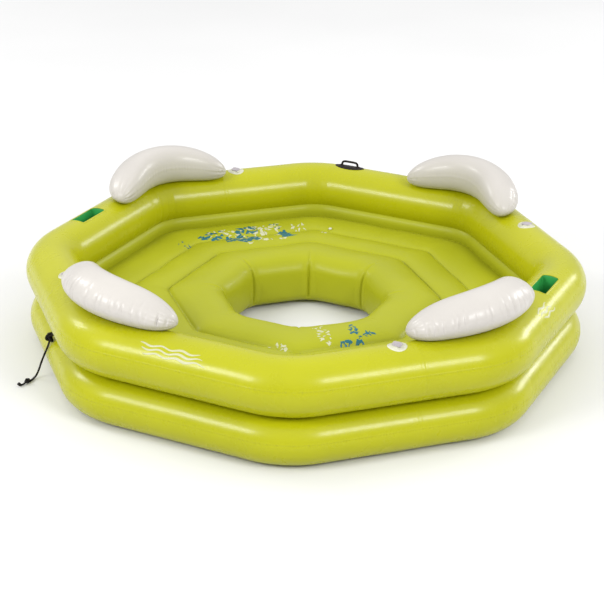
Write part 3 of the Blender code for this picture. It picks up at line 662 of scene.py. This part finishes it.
def lifted(x, y, z, clearance):
    """Points in the corner frame, those inside the upper tube moved straight out to just off its film."""
    centre = (UPPER_APOTHEM - CORNER_FILLET) / cos(HALF_SIDE)
    rho = np.hypot(x - centre, y)
    angle = np.arctan2(y, x - centre)
    in_bend = np.abs(angle) < HALF_SIDE
    heading = np.where(in_bend, angle, np.sign(y) * HALF_SIDE)
    straight = x * cos(HALF_SIDE) + np.abs(y) * sin(HALF_SIDE) - UPPER_APOTHEM
    off = np.where(in_bend, rho - CORNER_FILLET, straight)
    rise = z - UPPER_CENTRE_Z
    reach = np.hypot(off, rise)
    scale = np.maximum((UPPER_RADIUS + clearance) / np.maximum(reach, 1e-6), 1.0)
    shift = off * (scale - 1)
    return x + shift * np.cos(heading), y + shift * np.sin(heading), UPPER_CENTRE_Z + rise * scale


def bolster_points(corner, part, angle, relief):
    """Points on a bolster: part runs from -1 to 1 along it, angle goes round it from its outer side."""
    swell = np.sqrt(np.clip(1 - np.abs(part) ** BOLSTER_BLUNTNESS, 0, 1))
    x, y, turn = corner_station(BOLSTER_HALF_LENGTH * part)
    high = BOLSTER_HALF_HEIGHT * (1 - BOLSTER_END_TAPER * part**2)
    wide = BOLSTER_HALF_WIDTH * (1 - BOLSTER_END_NARROWING * part**2)
    across = np.cos(angle)
    up = np.sin(angle)
    out = wide * swell * across * (1 + BOLSTER_OUTWARD * across)
    out = out - BOLSTER_END_SHIFT * part**2 + BOLSTER_LEAN * swell * up
    level = -BOLSTER_SINK + high - BOLSTER_END_DROP * part**2 + high * swell * up
    out = out + relief * across
    level = level + relief * up
    flat_x = x + out * np.cos(turn)
    flat_y = y + out * np.sin(turn)
    px, py, pz = lifted(flat_x, flat_y, CROWN_Z + level, BOLSTER_CLEARANCE)
    heading = FIRST_CORNER + 2 * corner * HALF_SIDE
    gx = px * cos(heading) - py * sin(heading)
    gy = px * sin(heading) + py * cos(heading)
    return np.stack(np.broadcast_arrays(gx, gy, pz), axis=-1)


def make_bolster(name, corner, seed):
    """A cushion whose film puckers at its outer seam and, less, at its inner one."""
    stations = 260
    around = 96
    part = np.sin(np.linspace(-1, 1, stations) * pi / 2)[:, None]
    angle = np.linspace(0, 2 * pi, around, endpoint=False)[None, :]
    run = BOLSTER_HALF_LENGTH * part
    t = (part + 1) / 4
    near_end = smoothstep(0.62, 0.97, np.abs(part))
    phase = 2 * pi * run / PUCKER_PITCH + 1.7 * ring_noise(t, 6, 34, 10, seed)
    pulse = np.clip(np.cos(phase) - 0.25, 0, None) / 0.75
    pulse = pulse * np.clip(0.75 + 0.35 * ring_noise(t, 20, 70, 10, seed + 9), 0.15, 1.3)
    girth = BOLSTER_HALF_HEIGHT * (angle - 2 * pi * (angle > pi))
    reach = 0.034 + 0.011 * ring_noise(t, 12, 60, 8, seed + 5)
    outer = bump_at(girth, BOLSTER_SEAM, np.clip(reach, 0.017, 0.052))
    inner_girth = BOLSTER_HALF_HEIGHT * (angle - pi)
    inner = bump_at(inner_girth, 0, 0.013)
    relief = -PUCKER_DEPTH * pulse * outer * (0.75 + 0.5 * near_end)
    relief = relief - INNER_PUCKER_DEPTH * pulse * inner * (0.25 + near_end)
    relief = relief + 0.0006 * bump_at(girth, BOLSTER_SEAM, 0.0030)
    relief = relief + 0.0009 * bump_at(inner_girth, 0, 0.004)
    folds = np.clip(ring_noise(angle / (2 * pi), 9, 17, 6, seed + 3), 0, None)
    relief = relief - 0.0014 * near_end * folds
    points = bolster_points(corner, part, angle, relief)
    faces = grid_faces(stations, around)
    node = name.replace("_cushion", "_bolster")
    made = piece(
        name, points.reshape(-1, 3), faces, PILLOW_VINYL, "pillow_vinyl", stands_for=[node], weld=BOLSTER_WELD
    )


for index, (place, corner) in enumerate(BOLSTER_CORNERS.items()):
    make_bolster(place + "_cushion", corner, 61 + 20 * index)


# ---- drink wells
WELL_CORNER = 0.009
RIM_OFFSET = 0.0018


def well_turn(x):
    """Turn round the tube's section at this distance from a well's middle line."""
    return acos((WELL_OFFSET + x) / UPPER_RADIUS)


def make_well(name, side):
    """A moulded pocket whose mouth follows the tube, with walls drawn in a little by the air behind them."""
    points = []
    levels = [(0.0, -0.0002), (0.02, 0.0004), (0.05, 0.001)]
    levels += [(q, 0.0014) for q in (0.10, 0.2, 0.3, 0.4, 0.5, 0.6, 0.7, 0.8, 0.88, 0.94)]
    levels += [(0.975, 0.0022), (0.992, 0.0045), (1.0, 0.0085)]
    skin = 0.0012
    loops = [(q, draw, 0.0) for q, draw in levels]
    loops += [(1.0, 0.016, 0.0), (1.0, 0.026, 0.0), (1.0, 0.034, 0.0)]
    back = [(1.0, 0.034, skin), (1.0, 0.016, skin), (1.0, 0.0085, skin), (0.975, 0.0010, skin)]
    back += [(0.5, 0.0002, skin), (0.0, -0.0012, skin)]
    for q, draw, thick in loops + back:
        corner = max(0.0008, WELL_CORNER - draw)
        for x, y in rounded_rectangle(WELL_WIDTH / 2 - draw, WELL_LENGTH / 2 - draw, corner):
            along_part = 1 - (2 * y / WELL_LENGTH) ** 2
            across_part = 1 - (2 * x / WELL_WIDTH) ** 2
            pull = sin(pi * min(1.0, q)) * (1 if thick == 0 else 0.4)
            if abs(x) / (WELL_WIDTH / 2) > abs(y) / (WELL_LENGTH / 2):
                x -= 0.0042 * pull * max(0.0, along_part) ** 0.7 * (1 if x > 0 else -1)
            else:
                y -= 0.0030 * pull * max(0.0, across_part) ** 0.7 * (1 if y > 0 else -1)
            mouth = sqrt(UPPER_RADIUS**2 - (WELL_OFFSET + x) ** 2) - UPPER_RADIUS
            rise = 0.0030 * (1 - min(1.0, abs(2 * x / WELL_WIDTH))) if draw > 0.010 else 0.0
            z = CROWN_Z + mouth * (1 - q) - WELL_DEPTH * q + rise - thick
            points.append(on_side(side, UPPER_APOTHEM + WELL_OFFSET + x, WELL_SHIFT + y, z))
    around = len(rounded_rectangle(0.03, 0.08, 0.01))
    rows = len(loops) + len(back)
    faces = grid_faces(rows, around, True)
    closing_rows = (len(loops) - 1, len(loops))
    faces = [f for f in faces if {k // around for k in f} != set(closing_rows)]
    for row in closing_rows:
        close_end(faces, row * around, around)
    piece(name + "_liner", points, faces, WELL_VINYL, "well_vinyl", stands_for=[name])

    section = ((-0.0032, -0.0012), (-0.0034, 0.0005), (-0.0022, 0.0012), (0.0002, 0.0014))
    section += ((0.0030, 0.0011), (0.0042, 0.0004), (0.0044, -0.0012))
    points = []
    for across, height in section:
        half_x = WELL_WIDTH / 2 + RIM_OFFSET + across
        half_y = WELL_LENGTH / 2 + RIM_OFFSET + across
        for x, y in rounded_rectangle(half_x, half_y, 0.0108 + across):
            points.append(on_upper_tube(side, WELL_SHIFT + y, well_turn(x), height))
    faces = grid_faces(len(section), around, True)
    piece(name + "_welded_rim", points, faces, TUBE_VINYL, "tube_vinyl")


for place, well_side in WELL_SIDES.items():
    make_well(f"{place}_drink_well", well_side)


# ---- valves
def crown_drape(x, y, radius):
    """How far the film has dropped below the crown line, for the outer part of a flange."""
    blend = float(smoothstep(0.0195, 0.027, radius))
    return blend * (sqrt(UPPER_RADIUS**2 - x * x) - UPPER_RADIUS)


# (radius, height) outlines of a valve, heights from the crown of the tube
BASE_PROFILE = (
    (0.0150, 0.0052), (0.0154, 0.0055), (0.0186, 0.0055), (0.0190, 0.0051), (0.0190, 0.0034),
    (0.0194, 0.0028), (0.0210, 0.0024), (0.0255, 0.0020), (0.0264, 0.0020), (0.0269, 0.0027),
    (0.0281, 0.0027), (0.0286, 0.0019), (0.0308, 0.0017), (0.0313, 0.0024), (0.0323, 0.0024),
    (0.0328, 0.0016), (0.0350, 0.0013), (0.0362, 0.0010), (0.0368, 0.0003), (0.0368, -0.0008),
    (0.0300, -0.0010), (0.0200, -0.0012), (0.0190, -0.0018), (0.0190, -0.0076), (0.0186, -0.0080),
    (0.0154, -0.0080), (0.0150, -0.0076),
)
CAP_PROFILE = (
    (0.0, 0.0086), (0.0110, 0.0087), (0.0124, 0.0087), (0.0128, 0.0081), (0.0142, 0.0081),
    (0.0146, 0.0087), (0.0178, 0.0086), (0.0190, 0.0080), (0.0195, 0.0070), (0.0193, 0.0061),
    (0.0187, 0.0058), (0.0144, 0.0058), (0.0141, 0.0054), (0.0140, 0.0022), (0.0135, 0.0010),
    (0.0124, 0.0010), (0.0120, 0.0016), (0.0118, 0.0044), (0.0, 0.0044),
)


def block_points(place, profile, half_width, soft=0.0005):
    """A bar with this (x, z) outline, its sides eased at their edges."""
    points = []
    centre_x = sum(x for x, _ in profile) / len(profile)
    centre_z = sum(z for _, z in profile) / len(profile)
    for y, ease in ((-half_width, soft), (-half_width + soft, 0), (half_width - soft, 0), (half_width, soft)):
        for x, z in profile:
            reach = sqrt((x - centre_x) ** 2 + (z - centre_z) ** 2)
            scale = 1 - ease / max(reach, 0.001)
            spot = (centre_x + (x - centre_x) * scale, y, centre_z + (z - centre_z) * scale)
            points.append(place @ Vector(spot))
    count = len(profile)
    faces = grid_faces(4, count)
    close_end(faces, 0, count)
    close_end(faces, 3 * count, count)
    return points, faces


SMALL_STEPS_ROUND = 48


def make_valve(name, side):
    """A large valve: its base, its cap with tab and strap, and the lug under the strap."""
    place = side_matrix(side, UPPER_APOTHEM, VALVE_SHIFTS[name], CROWN_Z)
    around = 72
    points, _ = revolve(BASE_PROFILE, place, around, crown_drape)
    faces = grid_faces(len(BASE_PROFILE), around, True)
    base = f"{name}_valve_base"
    piece(base + "_moulded", points, faces, VALVE_PLASTIC, "valve_plastic", stands_for=[base])
    points, faces = revolve(CAP_PROFILE, place, around)
    tab = [(0.0188, 0.0062), (0.0245, 0.0062), (0.0262, 0.0070), (0.0245, 0.0076), (0.0188, 0.0078)]
    strap = [(-0.0188, 0.0063), (-0.0238, 0.0064), (-0.0253, 0.0066), (-0.0255, 0.0070)]
    strap += [(-0.0253, 0.0074), (-0.0238, 0.0076), (-0.0188, 0.0077)]
    for outline, half_width in ((tab, 0.0062), (strap, 0.0048)):
        join(points, faces, *block_points(place, outline, half_width))
    cap = f"{name}_valve_cap"
    name_of_cap = cap + "_moulded"
    piece(name_of_cap, points, faces, CAP_PLASTIC, "cap_plastic", cap, stands_for=[cap], weld=WELD)
    lug = [(-0.0226, -0.0020), (-0.0228, 0.0048), (-0.0236, 0.0055), (-0.0253, 0.0055), (-0.0276, 0.0044)]
    lug += [(-0.0302, 0.0020), (-0.0310, -0.0030), (-0.0268, -0.0026)]
    points, faces = block_points(place, lug, 0.0046)
    piece(f"{name}_valve_hinge_lug", points, faces, VALVE_PLASTIC, "valve_plastic")


for place, valve_side in VALVE_SIDES.items():
    make_valve(place, valve_side)


def make_seat_valve():
    """The small push-in valve of the seat floor, tilted to lie on its film."""
    low = on_seat(SEAT_VALVE_SIDE, SEAT_VALVE_OUT - 0.014, SEAT_VALVE_SHIFT, 0)
    high = on_seat(SEAT_VALVE_SIDE, SEAT_VALVE_OUT + 0.014, SEAT_VALVE_SHIFT, 0)
    slope = (high.z - low.z) / 0.028
    centre = side_matrix(SEAT_VALVE_SIDE, SEAT_VALVE_OUT, SEAT_VALVE_SHIFT, (high.z + low.z) / 2 + 0.0007)
    place = centre @ Matrix.Rotation(-np.arctan(slope), 4, "Y")
    plug = (
        (0.0, 0.0046), (0.0048, 0.0046), (0.0052, 0.0041), (0.0060, 0.0041), (0.0064, 0.0046),
        (0.0072, 0.0044), (0.0076, 0.0038), (0.0076, 0.0014), (0.0, 0.0014),
    )
    flange = (
        (0.0, 0.0012), (0.0079, 0.0012), (0.0084, 0.0017), (0.0112, 0.0014), (0.0116, 0.0019),
        (0.0124, 0.0019), (0.0128, 0.0013), (0.0150, 0.0010), (0.0160, 0.0003), (0.0160, -0.0010),
        (0.0, -0.0010),
    )
    points, faces = revolve(plug, place, SMALL_STEPS_ROUND)
    stands_for = ["seat_valve"]
    piece("seat_valve_plug", points, faces, VALVE_PLASTIC, "valve_plastic", stands_for=stands_for, weld=WELD)
    points, faces = revolve(flange, place, SMALL_STEPS_ROUND)
    piece("seat_valve_flange", points, faces, SEAT_VINYL, "seat_vinyl", weld=WELD)


make_seat_valve()


# ---- grab handle
BOSS_SHIFT = 0.043


def on_patch(along, across, height):
    """A point over the handle's patch, by its place on the film from the patch's middle."""
    turn_round = HANDLE_TURN - across / UPPER_RADIUS
    return on_upper_tube(HANDLE_SIDE, HANDLE_SHIFT + along, turn_round, height)


def make_handle():
    """A ribbed oval patch, a moulded loop and a boss at each foot of the loop."""
    around = 96
    rings = ((0.0, 0.0033), (0.30, 0.0033), (0.55, 0.0032), (0.66, 0.0031), (0.69, 0.0024), (0.72, 0.0024))
    rings += ((0.75, 0.0030), (0.90, 0.0027), (0.97, 0.0020), (1.0, 0.0009), (1.0, -0.0008), (0.0, -0.0008))
    points = []
    for part, height in rings:
        for k in range(around):
            turn = 2 * pi * k / around
            along = PATCH_LENGTH / 2 * part * cos(turn)
            across = PATCH_WIDTH / 2 * part * sin(turn)
            ribs = 0.00035 * cos(along / 0.0022) if 0.76 < part < 0.95 else 0.0
            points.append(on_patch(along, across, height + ribs))
    faces = grid_faces(len(rings), around)
    stands_for = ["handle_patch"]
    surface = (HANDLE_RUBBER, "handle_rubber")
    piece("handle_welded_patch", points, faces, *surface, stands_for=stands_for, weld=WELD)

    half = ((0.0, 0.0212), (0.020, 0.0210), (0.0305, 0.0196), (0.0362, 0.0155), (0.0384, 0.0100))
    half += ((0.0396, 0.0055), (0.0425, 0.0025), (0.0480, 0.0008))
    line = [(-y, h) for y, h in reversed(half)] + list(half[1:])
    route = [on_patch(y, 0.0, h + 0.0022) for y, h in line]
    path = catmull(route, 90)

    def section(k, part):
        end = abs(2 * part - 1)
        foot = smoothstep(0.84, 1.0, end)
        flat = 0.0052 * (1 + 0.8 * foot)
        thick = 0.0050 * (1 - 0.5 * foot)
        return [(flat * cos(2 * pi * j / 20), thick * sin(2 * pi * j / 20)) for j in range(20)]

    points, faces = sweep(path, section)
    piece("handle_moulded_loop", points, faces, HANDLE_RUBBER, "handle_rubber", stands_for=["handle_loop"])
    points, faces = [], []
    around = 32
    boss = ((0.0, 0.0062), (0.45, 0.0060), (0.72, 0.0052), (0.9, 0.0040), (1.0, 0.0026), (1.0, 0.0))
    for sign in (-1, 1):
        start = len(points)
        for part, height in boss:
            for k in range(around):
                turn = 2 * pi * k / around
                along = sign * BOSS_SHIFT + 0.0155 * part * cos(turn)
                points.append(on_patch(along, 0.0125 * part * sin(turn), height))
        faces += grid_faces(len(boss), around, start=start)
        close_end(faces, start + (len(boss) - 1) * around, around)
    piece("handle_bosses", points, faces, HANDLE_RUBBER, "handle_rubber", weld=WELD)


make_handle()


# ---- printed decoration
def ribbon(points, faces, centre_line, widths, spot, height=0.0005, sink=0.0012):
    """Adds a thin closed strip laid on a surface. spot(u, v, height) gives the surface's points."""
    start = len(points)
    line = np.asarray(centre_line, float)
    ahead = np.gradient(line, axis=0)
    ahead /= np.linalg.norm(ahead, axis=1)[:, None]
    section = ((-0.5, -sink), (-0.5, 0.0), (-0.4, height), (0.4, height), (0.5, 0.0), (0.5, -sink))
    for (u, v), (du, dv), width in zip(line, ahead, widths):
        for across, level in section:
            points.append(spot(u - dv * width * across, v + du * width * across, level))
    faces += grid_faces(len(line), 6, start=start)
    close_end(faces, start, 6)
    close_end(faces, start + (len(line) - 1) * 6, 6)


def make_wave_print(name, side, first, last, turns, pitch):
    """Wavy stripes printed along the upper and outer face of a side."""
    points, faces = [], []

    def spot(along, rise, height):
        return on_upper_tube(side, along, rise / UPPER_RADIUS, height)

    for k, turn in enumerate(turns):
        along = np.linspace(first + 0.012 * k, last - 0.016 * (len(turns) - 1 - k), 120)
        part = np.linspace(0, 1, 120)
        rise = UPPER_RADIUS * radians(turn) + 0.0042 * np.sin(2 * pi * along / pitch + 0.5 * k)
        swell = 1 + 0.25 * np.sin(2 * pi * along / pitch * 0.5)
        widths = 0.0078 * np.sin(pi * part) ** 0.35 * swell + 0.0004
        ribbon(points, faces, np.stack((along, rise), axis=1), widths, spot)
    piece(name, points, faces, PRINT_WHITE, "tube_vinyl")


make_wave_print("front_left_wave_print", 7, -0.150, 0.130, (53, 44.5, 36), 0.082)
make_wave_print("right_wave_print", 1, -0.150, -0.006, (57, 47, 37), 0.064)


SHARD_RINGS = ((0.0, 0.0007), (0.4, 0.0007), (0.75, 0.0007), (1.0, 0.0006), (1.02, -0.0014), (0.0, -0.0014))


def make_shards(name, clusters, surface, seed):
    """Seeded splashes of thin printed shards: (side, out, along, spread out, spread along, count, size)."""
    rng = np.random.default_rng(seed)
    points, faces = [], []
    per_edge = 4
    for side, out, along, spread_out, spread_along, count, size in clusters:
        for _ in range(count):
            shift_out = rng.uniform(-1, 1) * spread_out
            centre = np.array((out + shift_out, along + rng.uniform(-1, 1) * spread_along))
            corners = int(rng.integers(3, 6))
            heading = rng.uniform(0, 2 * pi)
            slender = rng.uniform(0.25, 0.8)
            reach = size * rng.uniform(0.55, 1.25)
            even = np.linspace(0, 2 * pi, corners, endpoint=False)
            turns = np.sort(rng.uniform(0, 2 * pi, corners) * 0.25 + even)
            shape = np.stack((np.cos(turns), slender * np.sin(turns)), axis=1) * reach
            shape *= rng.uniform(0.6, 1.1, corners)[:, None]
            spin = np.array(((cos(heading), -sin(heading)), (sin(heading), cos(heading))))
            outline = []
            for a, b in zip(shape, np.roll(shape, -1, axis=0)):
                outline += [a + (b - a) * k / per_edge for k in range(per_edge)]
            outline = np.array(outline) @ spin.T
            limit = (centre[0] - 0.02) * tan(HALF_SIDE) - 0.024 - reach
            if abs(centre[1]) > limit:
                centre[1] = limit * (1 if centre[1] > 0 else -1)
            start = len(points)
            for part, height in SHARD_RINGS:
                for a, b in outline * part:
                    points.append(on_seat(side, centre[0] + a, centre[1] + b, height))
            faces += grid_faces(len(SHARD_RINGS), len(outline), start=start)
    piece(name, points, faces, surface, "seat_vinyl", weld=WELD)


BACK_WHITE = (
    (4, 0.722, -0.060, 0.044, 0.085, 34, 0.018),
    (4, 0.610, -0.020, 0.040, 0.100, 20, 0.016),
    (4, 0.710, 0.130, 0.044, 0.080, 18, 0.015),
    (4, 0.710, -0.215, 0.030, 0.030, 9, 0.018),
    (3, 0.640, 0.215, 0.012, 0.014, 3, 0.010),
)
BACK_BLUE = (
    (4, 0.640, 0.080, 0.042, 0.070, 36, 0.028),
    (4, 0.730, 0.030, 0.030, 0.050, 18, 0.024),
    (4, 0.715, 0.205, 0.034, 0.060, 18, 0.022),
    (5, 0.700, -0.225, 0.030, 0.020, 6, 0.014),
    (4, 0.640, -0.130, 0.042, 0.022, 16, 0.028),
    (4, 0.735, -0.110, 0.024, 0.020, 6, 0.015),
)
FRONT_WHITE = (
    (0, 0.445, -0.080, 0.062, 0.026, 26, 0.011),
    (7, 0.520, 0.150, 0.016, 0.050, 12, 0.011),
)
FRONT_BLUE = (
    (0, 0.450, 0.048, 0.052, 0.016, 16, 0.013),
    (0, 0.515, 0.020, 0.010, 0.055, 12, 0.014),
    (0, 0.480, 0.095, 0.016, 0.020, 8, 0.014),
)
make_shards("seat_white_print", BACK_WHITE + FRONT_WHITE, PRINT_WHITE, 301)
make_shards("seat_blue_print", BACK_BLUE + FRONT_BLUE, PRINT_BLUE, 302)


# ---- tie cord
FITTING_ROOT = 1.025
FITTING_HALF_WIDTH = 0.017
FITTING_CORNER = 0.008
FITTING_RUN = 0.0565
FITTING_DROOP = 0.0035
HITCH_STRAND = 0.0050
WEAVE_RUN = 0.33
KNOT_STRAND = 0.0043
KNOT_REST = 0.0045
TAIL_RADIUS = 0.0036


def circle(radius, count):
    return [(radius * cos(2 * pi * j / count), radius * sin(2 * pi * j / count)) for j in range(count)]


def twisted(radius, count, k):
    """A lobed ring of a twisted strand, turned a little further at each step k."""
    ring = []
    for j in range(count):
        a = 2 * pi * j / count
        r = radius * (0.94 + 0.1 * abs(sin(3 * a + k * 0.5)) * abs(sin(3 * a - k * 0.5)))
        ring.append((r * cos(a), r * sin(a)))
    return ring


def make_fitting():
    """The tab welded between the tubes, its reinforced eye and the sleeve that the cord hangs from."""
    points = []
    half_x = (CORD_OUT + 0.0065 - FITTING_ROOT) / 2
    middle = FITTING_ROOT + half_x
    outline = rounded_rectangle(half_x, FITTING_HALF_WIDTH, FITTING_CORNER, 6, 6)
    rings = ((0.0, 0.0020), (0.55, 0.0020), (0.60, 0.0014), (0.66, 0.0014), (0.70, 0.0020), (0.94, 0.0019))
    rings += ((1.0, 0.0010), (1.0, -0.0010), (0.94, -0.0019), (0.0, -0.0019))
    for part, height in rings:
        for x, y in outline:
            out = middle + x * part
            droop = -FITTING_DROOP * ((out - FITTING_ROOT) / FITTING_RUN) ** 2
            points.append(on_side(CORD_SIDE, out, CORD_SHIFT + y * part, FITTING_Z + height + droop))
    around = len(outline)
    faces = grid_faces(len(rings), around)
    sleeve = ((0.0, 0.0026), (0.0050, 0.0026), (0.0066, 0.0018), (0.0070, 0.0))
    sleeve += ((0.0070, -0.0030), (0.0062, -0.0040))
    for k in range(4):
        low = -0.0045 - 0.0040 * k
        sleeve += ((0.0058, low), (0.0064, low - 0.0008), (0.0064, low - 0.0024), (0.0058, low - 0.0032))
    sleeve += ((0.0056, -0.0210), (0.0050, -0.0216), (0.0044, -0.0216), (0.0, -0.0200))
    place = side_matrix(CORD_SIDE, CORD_OUT, CORD_SHIFT, FITTING_Z)
    join(points, faces, *revolve(sleeve, place, 32))
    stands_for = ["cord_fitting"]
    surface = (HANDLE_RUBBER, "handle_rubber")
    piece("cord_fitting_moulded", points, faces, *surface, stands_for=stands_for, weld=WELD)
    wraps = []
    for turn in np.linspace(0, 2 * pi, 90, endpoint=False):
        reach = 0.0105 + 0.0022 * cos(3 * turn)
        spot = (reach * cos(turn), 1.1 * reach * sin(turn), -0.0145 + 0.0125 * sin(2 * turn))
        wraps.append(place @ Vector(spot))
    points, faces = sweep(wraps, lambda k, part: circle(HITCH_STRAND, 16), closed=True)
    piece("cord_fitting_hitch", points, faces, CORD_FIBRE, "cord_fibre")


make_fitting()


def make_cord():
    """The tie cord, its stopper knot and the short tail past the knot."""
    route = catmull([on_side(CORD_SIDE, *place) for place in CORD_ROUTE], 32)
    fine = catmull(route, 330)
    strands = 6
    pitch = 0.013

    def section(k, part):
        run = k * WEAVE_RUN / (len(fine) - 1)
        ring = []
        for j in range(24):
            a = 2 * pi * j / 24
            lean = pi * run / pitch * 2
            weave = abs(sin(strands / 2 * a + lean)) * abs(sin(strands / 2 * a - lean))
            r = CORD_RADIUS * (0.93 + 0.12 * weave)
            ring.append((r * cos(a), r * sin(a)))
        return ring

    points, faces = sweep(fine, section)
    rope = piece("braided_cord", points, faces, CORD_FIBRE, "cord_fibre", stands_for=["tie_cord"])

    heading = Vector(route[-1] - route[-2])
    heading.z = 0
    heading.normalize()
    last = on_side(CORD_SIDE, *CORD_ROUTE[-1])
    centre = last + heading * (KNOT_RADIUS + 2 * GAP)
    centre.z = KNOT_RADIUS + GAP
    turns = np.linspace(0, 2 * pi, 140, endpoint=False)
    lobe = 0.00285
    loops = np.stack(
        (
            lobe * (np.sin(turns) + 2 * np.sin(2 * turns)),
            lobe * (np.cos(turns) - 2 * np.cos(2 * turns)),
            -lobe * 1.5 * np.sin(3 * turns),
        ),
        axis=1,
    )
    along = heading.to_track_quat("X", "Z").to_matrix().to_4x4()
    lay = Matrix.Translation(centre) @ along @ Matrix.Rotation(radians(62), 4, "X")
    loops = np.array([lay @ Vector(p) for p in loops])
    loops[:, 2] += KNOT_REST - loops[:, 2].min()  # resting on the ground
    points, faces = sweep(loops, lambda k, part: twisted(KNOT_STRAND, 16, k), closed=True)
    knot = piece("cord_stopper_knot", points, faces, CORD_FIBRE, "cord_fibre", stands_for=["stopper_knot"])
    side_way = Vector((-heading.y, heading.x, 0))
    start = centre + heading * 0.006
    tail_path = catmull(
        [
            start,
            start + heading * 0.012 - side_way * 0.001 + Vector((0, 0, -0.0035)),
            start + heading * 0.022 - side_way * 0.005 + Vector((0, 0, -0.0052)),
            start + heading * 0.029 - side_way * 0.011 + Vector((0, 0, -0.0020)),
            start + heading * 0.032 - side_way * 0.015 + Vector((0, 0, 0.0035)),
        ],
        50,
    )

    def tail_section(k, part):
        flare = 1 + 0.75 * float(smoothstep(0.55, 0.8, part)) if part < 0.985 else 1.3
        return twisted(TAIL_RADIUS * flare, 20, k)

    points, faces = sweep(tail_path, tail_section)
    tail = piece("cord_tail", points, faces, CORD_FIBRE, "cord_fibre")


make_cord()


# ---- floor, light and camera
LAMP_DISTANCE = 9.0
LAMP_TARGET = Vector((0, 0, 0.3))
CAMERA_PLACE = Vector((0.3387, -6.1346, 2.9028))
CAMERA_TARGET = Vector((-0.0052, -0.0777, 0.2))
CAMERA_LENS = 96.494
CAMERA_SENSOR = 36
CAMERA_ROLL = radians(0.808)


def make_floor():
    shape = bmesh.new()
    bmesh.ops.create_grid(shape, x_segments=8, y_segments=8, size=30)
    mesh = bpy.data.meshes.new("floor")
    shape.to_mesh(mesh)
    shape.free()
    floor = link("floor", mesh)
    made, tree, surface = nodes_of("pale_floor")
    tree.links.new(ramp(tree, noise(tree, 0.4), (0.4, 0.67), (0.6, 0.69)), surface.inputs["Base Color"])
    put(surface, Roughness=0.9, Specular_IOR_Level=0.1)
    mesh.materials.append(made)


def softbox(name, azimuth, elevation, width, height, power):
    """A lamp seen from the island at this azimuth, from straight ahead towards the right, and elevation."""
    turn = radians(azimuth)
    rise = radians(elevation)
    away = Vector((sin(turn) * cos(rise), -cos(turn) * cos(rise), sin(rise)))
    data = bpy.data.lights.new(name, "AREA")
    data.shape = "RECTANGLE"
    data.size = width
    data.size_y = height
    data.energy = power
    made = link(name, data)
    made.location = LAMP_TARGET + away * LAMP_DISTANCE
    made.rotation_mode = "QUATERNION"
    made.rotation_quaternion = (-away).to_track_quat("-Z", "Y")


make_floor()
world = bpy.data.worlds.new("studio")
world.use_nodes = True
sky = world.node_tree
sky_height = sky.nodes.new("ShaderNodeSeparateXYZ")
sky.links.new(sky.nodes.new("ShaderNodeTexCoord").outputs["Generated"], sky_height.inputs["Vector"])
sky_tone = ramp(sky, sky_height.outputs["Z"], (0.0, 0.85), (0.05, 0.44), (0.30, 0.64), (0.85, 1.0))
sky.links.new(sky_tone, sky.nodes["Background"].inputs["Color"])
put(sky.nodes["Background"], Strength=1.24)
bpy.context.scene.world = world
softbox("front_left_softbox", -48, 31, 3.1, 2.2, 350)
softbox("front_right_softbox", 44, 33, 2.9, 2.2, 330)
softbox("back_right_softbox", 121, 20, 2.9, 1.6, 200)
softbox("left_softbox", -108, 33, 1.9, 1.9, 150)

lens = bpy.data.cameras.new("camera")
lens.sensor_width = CAMERA_SENSOR
lens.lens = CAMERA_LENS
camera = link("camera", lens)
camera.location = CAMERA_PLACE
camera.rotation_mode = "QUATERNION"
aim = (CAMERA_TARGET - camera.location).to_track_quat("-Z", "Y")
camera.rotation_quaternion = aim @ Matrix.Rotation(CAMERA_ROLL, 3, "Z").to_quaternion()
bpy.context.scene.camera = camera
bpy.context.scene.view_settings.view_transform = "Standard"
